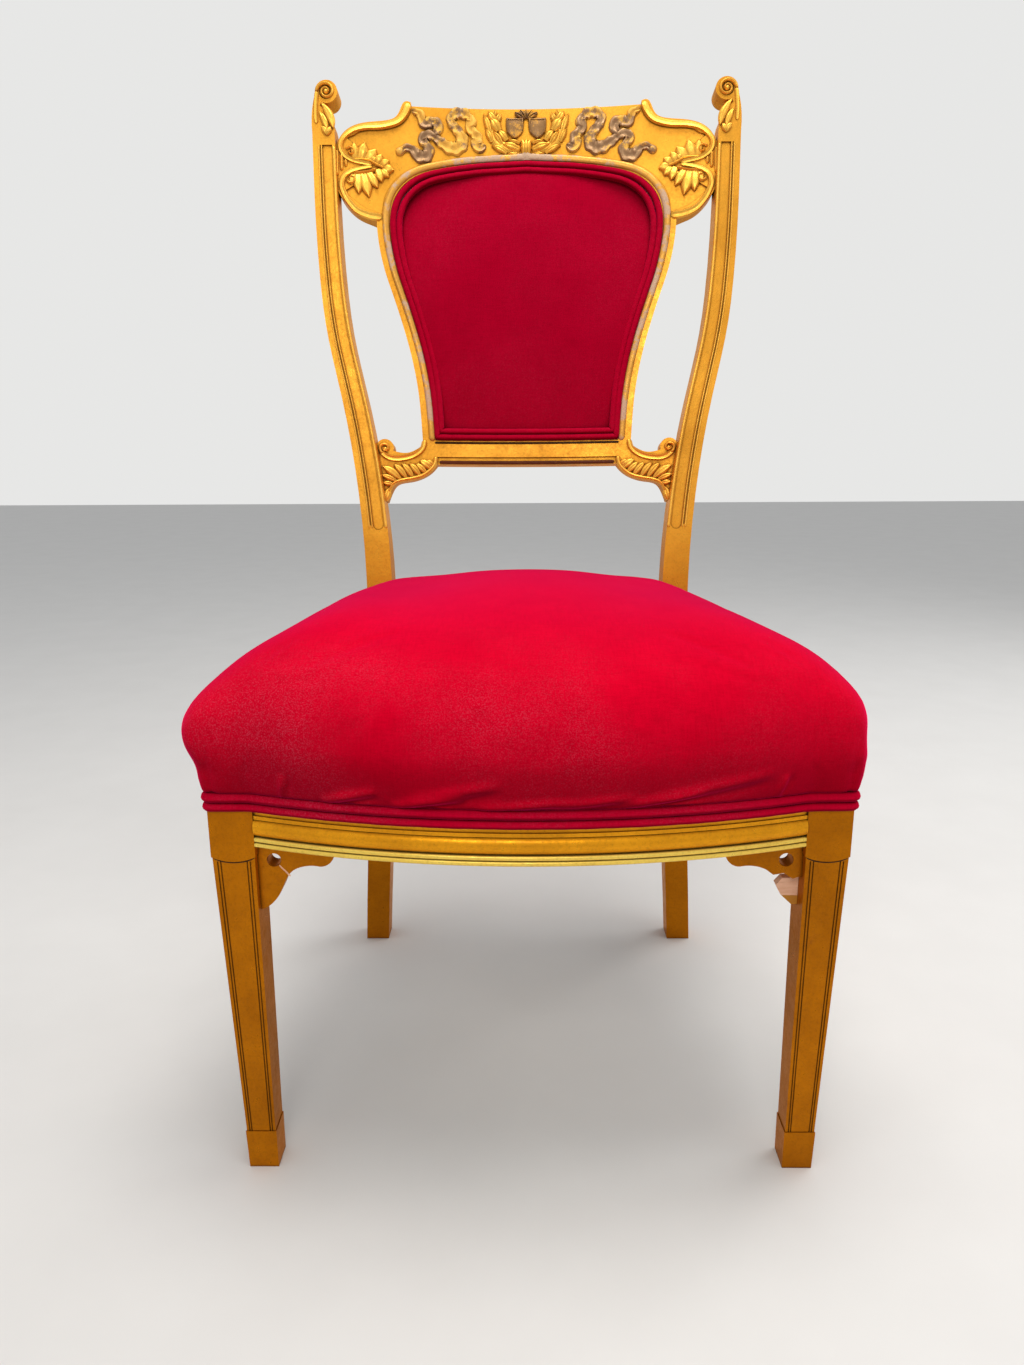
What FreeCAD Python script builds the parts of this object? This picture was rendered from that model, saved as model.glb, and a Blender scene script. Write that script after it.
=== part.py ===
import FreeCAD, Part
import math
import os
from FreeCAD import Placement, Rotation, Vector

# A giltwood side chair: square tapered front legs, a bow-fronted moulded seat rail,
# back posts that run from floor to scroll in one piece, a carved crest rail over an
# upholstered back panel, and a domed stuffed-over seat on webbing and springs.
# Millimetres. X is to the right seen from the front, Y to the back, Z up.
# The origin is on the floor, under the middle of the chair's outer box.

# Driving dimensions: plan of the frame
front_width = 500.0
seat_depth = 372.0
origin_setback = 233.55
bow = 36.0
overrun = 5.0
glue_line = 0.1
soft_clearance = 0.3

# Front legs
leg_size = 35.0
foot_size = 25.0
foot_outer_set_in = 8.5
foot_front_set_back = 6.0
leg_block_bottom = 292.0
leg_block_drop = 4.0
leg_foot_height = 36.0
leg_reveal = 0.8
reed_width = 1.1
reed_depth = 0.9
reed_shares = (0.13, 0.20, 0.80, 0.87)

# Seat rails, with their mouldings counted up from the bottom edge
rail_bottom = 300.0
rail_height = 64.0
rail_thickness = 24.0
rail_setback = 2.0
bead_height = 4.4
quirk_depth = 0.8
torus_height = 14.0
torus_projection = 4.0
fillet_height = 3.0
fillet_projection = 1.2
tenon_thickness = 9.0
tenon_wall = 7.0
tenon_web = 3.0
tenon_shoulder = 14.0

# Corner blocks and their screws
block_leg = 78.0
block_height = 36.0
block_lift = 10.0
screw_radius = 2.2
screw_head_radius = 4.2
screw_head_height = 3.0
screw_length = 36.0
screw_spacing = 26.0

# Pierced brackets under the front rail
bracket_width = 60.0
bracket_height = 57.0
bracket_thickness = 16.0
bracket_setback = 9.0
bracket_hole_radius = 5.7
bracket_stub_thickness = 8.0

# Back posts
back_lean = 10.5
back_foot_rake = 5.5
lean_start_height = 440.0
rear_foot_setback = 28.0
knee_radius = 500.0
post_foot_depth = 27.0
post_knee_depth = 34.0
post_top_depth = 25.0
post_foot_half = 186.5
post_seat_half = 163.0
post_top_half = 217.3
post_foot_width = 27.0
post_seat_width = 28.0
post_top_width = 24.0
post_height = 490.0
volute_radius = 12.0
volute_rise = 43.0
volute_relief = 1.6
volute_eye_radius = 3.2
scroll_stem_width = 8.5
channel_depth = 2.0
channel_bottom = 74.0
channel_stop = 12.0
channel_shares = (0.14, 0.58)
quirk_line_shares = (0.64, 0.69)

# Back panel: crest rail, stiles and lower rail stand on one gently curved sheet
back_radius = 900.0
back_set_in = 8.0
panel_thickness = 21.0
crest_above_post = 39.0
crest_height = 125.0
crest_half = 206.0
crest_relief = 2.4
crest_peak_rise = 3.0
crest_rim_width = 7.5
pad_half = 149.5
crest_band = 56.0
pad_bottom = 169.0
pad_rebate_depth = 9.0
pad_rebate_width = 11.0
stile_width = 14.0
lower_rail_top = 165.0
lower_rail_bottom = 143.0
lower_rail_bead = 6.0
lower_volute_radius = 9.5
lower_bracket_drop = 64.0
dowel_radius = 4.0
dowel_reach = 11.0
dowel_spacing = 22.0
stile_dowel_radius = 3.0
lower_dowel_radius = 3.0
lower_dowel_spacing = 14.0

# Applied ornament on the crest rail
ornament_height = 4.0
wreath_half = 48.0
wreath_rise = 23.5
wreath_drop = 26.0
wreath_band = 10.0
wreath_bow_radius = 7.0
shield_half = 9.2
shield_height = 22.0
shield_gap = 5.6
shield_height_above_rail = 2.8
ribbon_half = 82.0
ribbon_rise = 43.0
ribbon_drop = 29.0
ribbon_width = 8.0
ribbon_inner_end = 40.0
palmette_width = 48.0
palmette_height = 64.0
palmette_relief = 3.2

# Back upholstery
welt_radius = 3.0
welt_proud = 2.2
back_cover_thickness = 2.0
back_crown = 9.0
canvas_thickness = 1.2
outside_back_thickness = 2.5
back_strap_width = 45.0
back_strap_thickness = 1.5

# Seat upholstery
cover_thickness = 2.5
cover_overhang = 4.0
seat_swell = 17.0
seat_crown = 483.5
seat_corner_radius = 8.0
seat_swell_radius = 40.0
seat_welt_radius = 3.7
seat_welt_height = 331.0
cavity_margin = 40.0
cavity_top = 436.0
strap_width = 50.0
strap_thickness = 1.5
strap_weave = 1.0
strap_end_set_in = 8.0
straps_each_way = 4
tack_radius = 3.0
tack_height = 1.4
tacks_per_end = 3
spring_wire_radius = 1.9
spring_end_radius = 34.0
spring_waist_radius = 23.0
spring_turns = 4
spring_end_gap_share = 0.15
spring_spread_x = 72.0
spring_spread_y = 78.0

# Derived places
half_front = front_width / 2
front_face = -origin_setback
post_face = front_face + seat_depth
rail_top = rail_bottom + rail_height
crest_top = post_height + crest_above_post
crest_joint = crest_top - crest_height
pad_top = crest_top - crest_band
channel_top = post_height - channel_stop
wreath_centre = crest_top - wreath_drop
ribbon_centre = crest_top - ribbon_drop
cover_bottom = seat_welt_height + 4 * seat_welt_radius + soft_clearance
leg_inner = half_front - leg_size
rail_face = front_face + rail_setback
bow_half_span = leg_inner
bow_radius = (bow_half_span ** 2 + bow ** 2) / (2 * bow)
bow_centre_y = rail_face - bow + bow_radius
lean = math.radians(back_lean)
rake = math.radians(back_foot_rake)
sheet_centre_b = back_set_in + crest_half ** 2 / (2 * back_radius) - back_radius
post_rail_face = post_face + rear_foot_setback - math.tan(rake) * (rail_bottom + rail_height / 2)
rear_rail_face = post_rail_face + post_knee_depth - tenon_wall - tenon_thickness / 2 - rail_thickness / 2
X_AXIS = Vector(1, 0, 0)
Y_AXIS = Vector(0, 1, 0)
Z_AXIS = Vector(0, 0, 1)
CENTRE = Vector(0, 0, 0)
back_placement = Placement(Vector(0, post_face, lean_start_height), Rotation(X_AXIS, -back_lean))


# Drawing helpers

def plan(height):
    """Draws in plan at a height."""
    return lambda x, y: Vector(x, y, height)


def elevation(y):
    """Draws in front elevation at a depth."""
    return lambda x, z: Vector(x, y, z)


def profile(x):
    """Draws in side elevation at a distance from the middle."""
    return lambda y, z: Vector(x, y, z)


class Outline:
    """A closed outline drawn point by point, from lines, arcs and smooth curves."""

    def __init__(self, place, start):
        self.place = place
        self.start = start
        self.here = start
        self.edges = []

    def line(self, *points):
        for point in points:
            self.edges.append(Part.makeLine(self.place(*self.here), self.place(*point)))
            self.here = point
        return self

    def arc(self, through, to):
        points = [self.place(*p) for p in (self.here, through, to)]
        self.edges.append(Part.Arc(*points).toShape())
        self.here = to
        return self

    def curve(self, *points):
        spline = Part.BSplineCurve()
        spline.interpolate([self.place(*p) for p in (self.here,) + points])
        self.edges.append(spline.toShape())
        self.here = points[-1]
        return self

    def wire(self):
        if self.place(*self.here).distanceToPoint(self.place(*self.start)) > Part.Precision.confusion():
            self.line(self.start)
        return Part.Wire(self.edges)

    def face(self):
        return Part.Face(self.wire())


def box(low, high):
    """A block between two corners."""
    size = [b - a for a, b in zip(low, high)]
    return Part.makeBox(*size, Vector(*low))


def mirrored(shape):
    """The same piece for the other side of the chair."""
    return shape.mirror(CENTRE, X_AXIS)


def join(*shapes):
    """One solid out of several that share material."""
    return shapes[0].fuse(list(shapes[1:])).removeSplitter()


def largest(shape):
    """The main solid left by a cut."""
    return max(shape.Solids, key=lambda solid: solid.Volume)


def on_back(shape):
    """Takes a piece drawn on the upright back to its leaning place."""
    placed = shape.copy()
    placed.Placement = back_placement.multiply(placed.Placement)
    return placed


def shares_of(shares, width, low, high):
    """Outline points from shares of a width and of a rise between two heights."""
    return [(across * width, low + up * (high - low)) for across, up in shares]


# Front legs

def leg_corner(height):
    """Outer face, front face and size of a front leg at a height below its block."""
    share = 1 - height / leg_block_bottom
    outer = half_front - foot_outer_set_in * share
    front = front_face + foot_front_set_back * share
    return outer, front, leg_size + (foot_size - leg_size) * share


def side_angle():
    """Angle in plan at which the chair's sides draw in towards the back, in radians."""
    return math.atan2(half_front - post_across(rail_top - lean_start_height, 1), seat_depth)


def leg_section(height, inset):
    """Plan of a front leg at a height: square in front, its outer side in line with the seat's side."""
    outer, front, size = leg_corner(height)
    left, right = outer - size + inset, outer - inset
    near, far = front + inset, front + size - inset
    rear_right = right - size * math.tan(side_angle())
    return Outline(plan(height), (left, near)).line((right, near), (rear_right, far), (left, far)).wire()


def reed_section(height, share, on_front):
    """Cross-section of one reed line, on the front or the outer face."""
    outer, front, size = leg_corner(height)
    half = reed_width / 2
    along, face = outer - size * share, front + leg_reveal
    if on_front:
        left, right, near, far = along - half, along + half, face - overrun, face + reed_depth
    else:
        middle = front + size * share
        side = outer - leg_reveal - size * share * math.tan(side_angle())
        left, right, near, far = side - reed_depth, side + overrun, middle - half, middle + half
    return Outline(plan(height), (left, near)).line((right, near), (right, far), (left, far)).wire()


def front_leg():
    """The right front leg, before its mortises."""
    block_outline = Outline(elevation(front_face), (leg_inner, leg_block_bottom))
    block_outline.arc((half_front - leg_size / 2, leg_block_bottom - leg_block_drop), (half_front, leg_block_bottom))
    block_outline.line((half_front, rail_top), (leg_inner, rail_top))
    block_plan = Part.Face(leg_section(leg_block_bottom, 0)).extrude(Z_AXIS * rail_top)
    block_plan.translate(Z_AXIS * -leg_block_drop)
    block = block_outline.face().extrude(Y_AXIS * leg_size).common(block_plan)
    shaft = Part.makeLoft([leg_section(leg_block_bottom + leg_reveal, leg_reveal),
                           leg_section(leg_foot_height - leg_reveal, leg_reveal)], True, True)
    foot = Part.makeLoft([leg_section(leg_foot_height, 0), leg_section(0, 0)], True, True)
    leg = join(block, shaft, foot)
    reed_ends = (leg_block_bottom - leg_block_drop, leg_foot_height)
    for on_front in (True, False):
        for share in reed_shares:
            leg = leg.cut(Part.makeLoft([reed_section(z, share, on_front) for z in reed_ends], True, True))
    return largest(leg)


# Back posts

def rounded_knee(low, corner, high):
    """Start, middle and end of the arc that eases a bent line at its corner."""
    low, corner, high = (Vector(*p, 0) for p in (low, corner, high))
    down = (low - corner).normalize()
    up = (high - corner).normalize()
    half_turn = (math.pi - down.getAngle(up)) / 2
    reach = knee_radius * math.tan(half_turn)
    inward = (down + up).normalize()
    centre = corner + inward * (knee_radius / math.cos(half_turn))
    middle = centre - inward * knee_radius
    return [(p.x, p.y) for p in (corner + down * reach, middle, corner + up * reach)]


def post_side_points():
    """Foot, knee and top of the post's front and rear edges in side view."""
    foot_y = post_face + rear_foot_setback
    knee_z = (rear_foot_setback + math.tan(lean) * lean_start_height) / (math.tan(lean) + math.tan(rake))
    knee_y = foot_y - math.tan(rake) * knee_z
    top_z = lean_start_height + (post_height + volute_rise + 2 * volute_radius) * math.cos(lean)
    top_y = post_face + math.tan(lean) * (top_z - lean_start_height)
    front = [(foot_y, 0), (knee_y, knee_z), (top_y, top_z)]
    depths = (post_foot_depth, post_knee_depth, post_top_depth)
    return front, [(y + depth, z) for (y, z), depth in zip(front, depths)]


def post_side_prism(back_limit=None):
    """The sawn side shape of the post, or all the space behind its front edge."""
    front, rear = post_side_points()
    start, middle, end = rounded_knee(*front)
    outline = Outline(profile(-front_width), front[0]).line(start).arc(middle, end).line(front[2])
    if back_limit is None:
        rear_start, rear_middle, rear_end = rounded_knee(*rear)
        outline.line(rear[2], rear_end).arc(rear_middle, rear_start).line(rear[0])
    else:
        outline.line((back_limit, front[2][1]), (back_limit, 0))
    return outline.face().extrude(X_AXIS * 2 * front_width)


# How far the post has swept out from seat to top, against its height
post_flare_shares = ((0.0, 0.0), (0.20, 0.13), (0.43, 0.47), (0.58, 0.76), (0.69, 0.88), (0.81, 0.95), (1.0, 1.0))
post_foot_splay_shares = ((-1.1, 1.1), (-0.55, 0.42), (-0.22, 0.06))


def post_stations():
    """Middle line and width of the post, from below the floor to its scroll."""
    stations = []
    for down, out in post_foot_splay_shares:
        middle = post_seat_half + (post_foot_half - post_seat_half) * out
        width = post_seat_width + (post_foot_width - post_seat_width) * out
        stations.append((down * lean_start_height, middle, width))
    for up, out in post_flare_shares:
        middle = post_seat_half + (post_top_half - post_seat_half) * out
        width = post_seat_width + (post_top_width - post_seat_width) * up
        stations.append((up * post_height, middle, width))
    return stations


def post_edge(share, low=None, high=None):
    """Points up the post at a share of its width from the inner edge, between two heights."""
    points = [(middle + width * (share - 0.5), v) for v, middle, width in post_stations()]
    if low is None:
        return points
    inside = [p for p in points if low < p[1] < high]
    ends = [(post_across(v, share), v) for v in (low, high)]
    return [ends[0]] + inside + [ends[1]]


def post_across(height, share):
    """Distance from the chair's middle at one height and one share of the post's width."""
    points = post_edge(share)
    (u_below, v_below), (u_top, v_top) = points[-2:]
    if height > v_top:
        return u_top + (u_top - u_below) * (height - v_top) / (v_top - v_below)
    spline = Part.BSplineCurve()
    spline.interpolate([Vector(u, 0, v) for u, v in points])
    level = Part.Plane(Vector(0, 0, height), Z_AXIS)
    hits = spline.intersectCS(level)[0]
    return hits[0].X


def volute_centre():
    outer = post_top_half + post_top_width / 2
    return outer - scroll_stem_width / 2 - volute_radius + quirk_depth, post_height + volute_rise


def post_blank(grow=0.0):
    """The right back post before mouldings and mortises, drawn larger by a clearance."""
    outer = [(u + grow, v) for u, v in post_edge(1)]
    inner = [(u - grow, v) for u, v in post_edge(0)]
    eye_u, eye_v = volute_centre()
    stem_top = eye_v + volute_radius * math.sqrt(0.5)
    stem_outer = eye_u + volute_radius * math.sqrt(0.5)
    leaf_u = outer[-1][0] - scroll_stem_width
    outline = Outline(elevation(-overrun), inner[0]).curve(*inner[1:])
    outline.curve((inner[-1][0] + scroll_stem_width / 4, post_height + volute_rise * leaf_rise_shares[0]),
                  (leaf_u, post_height + volute_rise * leaf_rise_shares[1]))
    outline.line((eye_u, eye_v), (stem_outer, stem_top))
    outline.curve((outer[-1][0] - quirk_depth, post_height + volute_rise * leaf_rise_shares[1]), outer[-1])
    outline.curve(*reversed(outer[:-1]))
    reach = lean_start_height
    blank = outline.face().extrude(Y_AXIS * reach)
    volute = Part.makeCylinder(volute_radius + grow, reach, Vector(eye_u, -overrun, eye_v), Y_AXIS)
    return on_back(join(blank, volute)).common(post_side_prism())


# Rise of the carved leaf at the post's shoulder, and of the notch under the scroll
leaf_rise_shares = (0.30, 0.66)


def post_moulding():
    """What is cut from the front of the right post: a sunk channel and a quirk beside it."""
    cuts = []
    for shares, depth in ((channel_shares, channel_depth), (quirk_line_shares, channel_depth / 2)):
        left = post_edge(shares[0], channel_bottom, channel_top)
        right = post_edge(shares[1], channel_bottom, channel_top)
        round_end = (left[0][0] + right[0][0]) / 2, channel_bottom - (right[0][0] - left[0][0]) / 2
        outline = Outline(elevation(-overrun), left[0]).curve(*left[1:]).line(right[-1])
        outline.curve(*reversed(right[:-1])).arc(round_end, left[0])
        cuts.append(outline.face().extrude(Y_AXIS * (overrun + depth)))
    eye_u, eye_v = volute_centre()
    ring = Part.makeCylinder(volute_radius - scroll_stem_width / 2, overrun + volute_relief,
                             Vector(eye_u, -overrun, eye_v), Y_AXIS)
    eye = Part.makeCylinder(volute_eye_radius, overrun + volute_relief, Vector(eye_u, -overrun, eye_v), Y_AXIS)
    cuts.append(ring.cut(eye))
    return [on_back(cut) for cut in cuts]


# Seat rails

def rail_outline(place):
    """Rail section: two beads, a broad torus and a fillet under a plain face for the cover."""
    radius = bead_height / 2
    outline = Outline(place, (-rail_thickness, 0)).line((0, 0))
    z = 0
    for _ in range(2):
        outline.arc((radius, z + radius), (0, z + bead_height))
        z += bead_height
    outline.line((-quirk_depth, z), (-quirk_depth, z + quirk_depth), (0, z + quirk_depth))
    z += quirk_depth
    outline.arc((torus_projection, z + torus_height / 2), (0, z + torus_height))
    z += torus_height
    outline.line((fillet_projection, z), (fillet_projection, z + fillet_height), (0, z + fillet_height))
    outline.line((0, rail_height), (-rail_thickness, rail_height))
    return outline.face()


def tenon_block(length, grow):
    """A tenon along +Y from its shoulder at the origin, centred on X, seated at the rail's height."""
    half = tenon_thickness / 2 + grow
    low = rail_bottom + tenon_shoulder - grow
    high = rail_top - tenon_shoulder + grow
    return box((-half, -overrun, low), (half, length + grow, high))


def front_tenon(grow=0.0):
    """The front rail's right-hand tenon."""
    tenon = tenon_block(leg_size - tenon_wall - tenon_web, grow)
    tenon.rotate(CENTRE, Z_AXIS, -90)
    tenon.translate(Vector(leg_inner, front_face + tenon_wall + tenon_thickness / 2, 0))
    return tenon


def front_rail():
    """The bowed front rail: its section revolved about the bow's centre, between the legs."""
    sweep = 2 * math.degrees(math.asin(front_width / 2 / bow_radius))
    section = rail_outline(lambda out, z: Vector(0, bow_centre_y - bow_radius - out, rail_bottom + z))
    rail = section.revolve(Vector(0, bow_centre_y, 0), Z_AXIS, sweep)
    rail.rotate(Vector(0, bow_centre_y, 0), Z_AXIS, -sweep / 2)
    between_legs = box((-leg_inner, front_face - front_width, 0), (leg_inner, bow_centre_y, rail_top + overrun))
    tenon = front_tenon()
    return join(rail.common(between_legs), tenon, mirrored(tenon))


def side_rail_line():
    """Middle of the right side rail's tenons at the leg's back face and at the post's front face."""
    angle = side_angle()
    inward = (tenon_wall + tenon_thickness / 2) / math.cos(angle)
    front_x = half_front - leg_size * math.tan(angle) - inward
    rear_x = half_front - (post_rail_face - front_face) * math.tan(angle) - inward
    return Vector(front_x, front_face + leg_size, 0), Vector(rear_x, post_rail_face, 0)


def side_tenons(grow=0.0):
    """The right side rail's front and rear tenons."""
    front, rear = side_rail_line()
    angle = math.degrees(side_angle())
    front_tenon_block = tenon_block(leg_size - tenon_wall - tenon_thickness - tenon_web, grow)
    front_tenon_block.rotate(CENTRE, Z_AXIS, 180 + angle)
    front_tenon_block.translate(front)
    rear_tenon_block = tenon_block(post_knee_depth - tenon_wall - tenon_thickness - tenon_web, grow)
    rear_tenon_block.rotate(CENTRE, Z_AXIS, angle)
    rear_tenon_block.translate(rear)
    return front_tenon_block, rear_tenon_block


def side_rail():
    """The right side rail, moulded like the front one, from leg to post."""
    front, rear = side_rail_line()
    angle = math.degrees(side_angle())
    length = (rear - front).Length + 2 * leg_size
    outer = tenon_wall + tenon_thickness / 2 - rail_setback
    section = rail_outline(lambda out, z: Vector(outer + out, -leg_size, rail_bottom + z))
    rail = section.extrude(Y_AXIS * length)
    rail.rotate(CENTRE, Z_AXIS, angle)
    rail.translate(front)
    rail = rail.cut(post_side_prism(back_limit=front_face + front_width + seat_depth))
    in_front = box((0, front_face - front_width, 0), (front_width, front_face + leg_size, rail_top + overrun))
    rail = largest(rail.cut(in_front))
    return join(rail, *side_tenons())


def rear_tenon(grow=0.0):
    """The rear rail's right-hand tenon."""
    tenon = tenon_block(post_seat_width - tenon_wall, grow)
    tenon.rotate(CENTRE, Z_AXIS, -90)
    inner = post_across(rail_bottom + rail_height / 2 - lean_start_height, 0)
    tenon.translate(Vector(inner, rear_rail_face + rail_thickness / 2, 0))
    return tenon


def rear_rail(post):
    """The plain rear rail between the posts."""
    reach = post_across(rail_bottom - lean_start_height, 0.5)
    rail = box((-reach, rear_rail_face, rail_bottom), (reach, rear_rail_face + rail_thickness, rail_top))
    rail = rail.cut(post).cut(mirrored(post))
    tenon = rear_tenon()
    return join(largest(rail), tenon, mirrored(tenon))


# Corner blocks

def corner_block(corner, toward, neighbours):
    """A glue block in a corner, trimmed by the rails and the leg it seats on."""
    low = rail_bottom + block_lift
    outline = Outline(plan(low), (corner.x, corner.y))
    outline.line((corner.x - block_leg, corner.y), (corner.x, corner.y + toward * block_leg))
    block = outline.face().extrude(Z_AXIS * block_height)
    for neighbour in neighbours:
        block = block.cut(neighbour)
    return largest(block)


def block_screws(corner, toward):
    """Two countersunk screws driven square through a block's slanted face."""
    direction = Vector(1, -toward, 0).normalize()
    along = Vector(1, toward, 0).normalize()
    middle = corner + Vector(-block_leg / 2, toward * block_leg / 2, rail_bottom + block_lift + block_height / 2)
    screws = []
    for side in (-1, 1):
        start = middle + along * (side * screw_spacing / 2)
        head = Part.makeCone(screw_head_radius, screw_radius, screw_head_height, start, direction)
        shank = Part.makeCylinder(screw_radius, screw_length, start, direction)
        screws.append(join(head, shank))
    return screws


# Pierced brackets, from the inner top corner out along the rail and down the leg
bracket_outline_shares = ((1.0, 0.90), (1.0, 0.80), (0.92, 0.68), (0.80, 0.645), (0.56, 0.64), (0.44, 0.58),
                          (0.33, 0.42), (0.27, 0.27), (0.19, 0.14), (0.02, 0.0))
bracket_hole_shares = (0.20, 0.745)
bracket_break_shares = ((0.46, 0.60), (0.36, 0.52), (0.22, 0.545), (0.10, 0.46), (0.0, 0.50))
bracket_stub_shares = ((0.0, 0.42), (0.20, 0.40), (0.28, 0.30), (0.21, 0.15), (0.06, 0.0), (0.0, 0.0))


def bracket_points(shares):
    bottom = rail_bottom - bracket_height
    return [(leg_inner - across * bracket_width, bottom + up * bracket_height) for across, up in shares]


def bracket_hole():
    (hole_x, hole_z), = bracket_points((bracket_hole_shares,))
    y = front_face + bracket_setback - overrun
    return Part.makeCylinder(bracket_hole_radius, bracket_thickness + 2 * overrun, Vector(hole_x, y, hole_z), Y_AXIS)


def whole_bracket(leg):
    """The sound bracket: a scrolled outline under the rail with a round piercing."""
    points = bracket_points(bracket_outline_shares)
    outline = Outline(elevation(front_face + bracket_setback), (half_front, rail_bottom))
    outline.line((points[0][0], rail_bottom), points[0]).curve(*points[1:4])
    outline.curve(*points[4:]).line((half_front, points[-1][1]))
    blank = outline.face().extrude(Y_AXIS * bracket_thickness)
    return largest(blank.cut(leg).cut(bracket_hole()))


def broken_bracket(leg):
    """The damaged bracket: its lower arm has snapped off below the piercing."""
    points = bracket_points(bracket_outline_shares)
    broken = bracket_points(bracket_break_shares)
    outline = Outline(elevation(front_face + bracket_setback), (half_front, rail_bottom))
    outline.line((points[0][0], rail_bottom), points[0]).curve(*points[1:4]).curve(points[4], broken[0])
    outline.line(*broken[1:]).line((half_front, broken[-1][1]))
    blank = outline.face().extrude(Y_AXIS * bracket_thickness)
    return largest(blank.cut(leg).cut(bracket_hole()))


def bracket_stub(leg):
    """The splinter of the lower arm that is still glued to the leg."""
    points = bracket_points(bracket_stub_shares)
    y = front_face + bracket_setback + bracket_thickness - bracket_stub_thickness
    outline = Outline(elevation(y), (half_front, points[0][1])).line(*points)
    outline.line((half_front, points[-1][1]))
    return largest(outline.face().extrude(Y_AXIS * bracket_stub_thickness).cut(leg))


# The curved sheet that the back panel stands on

def sheet_cylinder(depth):
    """All that lies in front of the curved sheet pushed back by a depth."""
    return Part.makeCylinder(back_radius + depth, post_height + volute_rise + crest_half,
                             Vector(0, sheet_centre_b, -crest_half), Z_AXIS)


def sheet_slab(face, near, far):
    """A drawn face cut through the sheet, between two depths behind its front."""
    prism = face.extrude(Y_AXIS * 2 * back_radius / 3)
    prism.translate(Vector(0, -back_radius / 3, 0))
    return prism.common(sheet_cylinder(far)).cut(sheet_cylinder(near))


def symmetric_face(half_edges):
    """A face from the edges of its right half and their mirror images."""
    edges = list(half_edges) + [mirrored(edge) for edge in half_edges]
    return Part.Face(Part.Wire(Part.__sortEdges__(edges)))


# Right half of the upholstered panel: an arch with a raised middle, then a long ogee to a narrow foot
pad_arch_shares = ((0.0, 1.0), (0.15, 0.996), (0.36, 0.989), (0.57, 0.974), (0.745, 0.953), (0.86, 0.922),
                   (0.945, 0.876), (0.99, 0.82), (1.0, 0.765))
pad_side_shares = ((1.0, 0.765), (0.985, 0.69), (0.945, 0.60), (0.888, 0.515), (0.833, 0.432), (0.779, 0.34),
                   (0.736, 0.247), (0.707, 0.155), (0.692, 0.07), (0.683, 0.0))


def pad_face(inset):
    """The panel's outline drawn in by a margin all round."""
    half = pad_half - inset
    low, high = pad_bottom + inset, pad_top - inset
    arch = shares_of(pad_arch_shares, half, low, high)
    side = shares_of(pad_side_shares, half, low, high)
    outline = Outline(elevation(0), arch[0]).curve(*arch[1:]).curve(*side[1:]).line((0, low))
    return symmetric_face(outline.edges)


def pad_side_at(height):
    """Half width of the panel at a height, read off its side curve, or off its arch above that."""
    side = shares_of(pad_side_shares, pad_half, pad_bottom, pad_top)
    arch = shares_of(pad_arch_shares, pad_half, pad_bottom, pad_top)
    if height <= pad_bottom:
        return side[-1][0]
    spline = Part.BSplineCurve()
    spline.interpolate([Vector(u, 0, v) for u, v in (side if height < side[0][1] else arch)])
    return spline.intersectCS(Part.Plane(Vector(0, 0, height), Z_AXIS))[0][0].X


# Crest rail, right half: peak, swan neck, upper lobe, waist at the post and lower lobe
crest_peak_shares = ((0.61, 1.0), (0.645, 1.0), (0.668, 0.93))
crest_neck_shares = ((0.69, 0.895), (0.74, 0.86), (0.82, 0.838), (0.90, 0.80), (0.955, 0.735), (0.985, 0.66),
                     (1.0, 0.60))
crest_lobe_shares = ((1.0, 0.30), (0.978, 0.20), (0.94, 0.12), (0.885, 0.055), (0.83, 0.022), (0.795, 0.0))


def crest_face():
    """Front outline of the crest rail, closed along the joints with the stiles."""
    peak = shares_of(crest_peak_shares, crest_half, crest_joint, crest_top + crest_peak_rise)
    neck = shares_of(crest_neck_shares, crest_half, crest_joint, crest_top)
    lobe = shares_of(crest_lobe_shares, crest_half, crest_joint, crest_top)
    into_post = crest_half + post_top_width / 2
    inner = pad_side_at(crest_joint) - pad_rebate_width
    outline = Outline(elevation(0), (0, crest_top)).line((peak[0][0], crest_top), peak[0])
    outline.curve(*peak[1:], *neck).line((into_post, neck[-1][1]), (into_post, lobe[0][1]), lobe[0])
    outline.curve(*lobe[1:]).line((inner, crest_joint), (0, crest_joint))
    return symmetric_face(outline.edges)


def crest_field_faces():
    """The sunk ground of the crest: one field each side, inside the rim."""
    rim = crest_rim_width
    neck = shares_of(crest_neck_shares, crest_half - rim, crest_joint + rim, crest_top - rim)
    lobe = shares_of(crest_lobe_shares, crest_half - rim, crest_joint + rim, crest_top - rim)
    peak = shares_of(crest_peak_shares, crest_half, crest_joint, crest_top)
    waist = neck[-1][0] - palmette_width / 2, (neck[-1][1] + lobe[0][1]) / 2
    inner = pad_side_at(crest_joint) + rim / 2
    outline = Outline(elevation(0), (0, crest_top + overrun)).line((peak[0][0], crest_top + overrun), peak[0])
    outline.curve(*neck[:-2], (neck[-1][0], neck[-3][1])).curve(waist, (lobe[0][0], lobe[1][1]))
    outline.curve(*lobe[2:]).line((inner, lobe[-1][1]))
    arch = shares_of(pad_arch_shares, pad_half + rim, pad_bottom, pad_top + rim)
    outline.curve(*reversed(arch[:-1]))
    return symmetric_face(outline.edges)


def crest_rail(posts):
    """The crest: a shaped board with a raised rim, rebated for the panel."""
    board = sheet_slab(crest_face(), 0, panel_thickness)
    ground = sheet_slab(crest_field_faces(), -overrun, crest_relief)
    opening = sheet_slab(pad_face(pad_rebate_width), -overrun, panel_thickness + overrun)
    rebate = sheet_slab(pad_face(0), -overrun, pad_rebate_depth)
    crest = on_back(board.cut(ground).cut(opening).cut(rebate))
    for post in posts:
        crest = crest.cut(post)
    return largest(crest)


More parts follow.
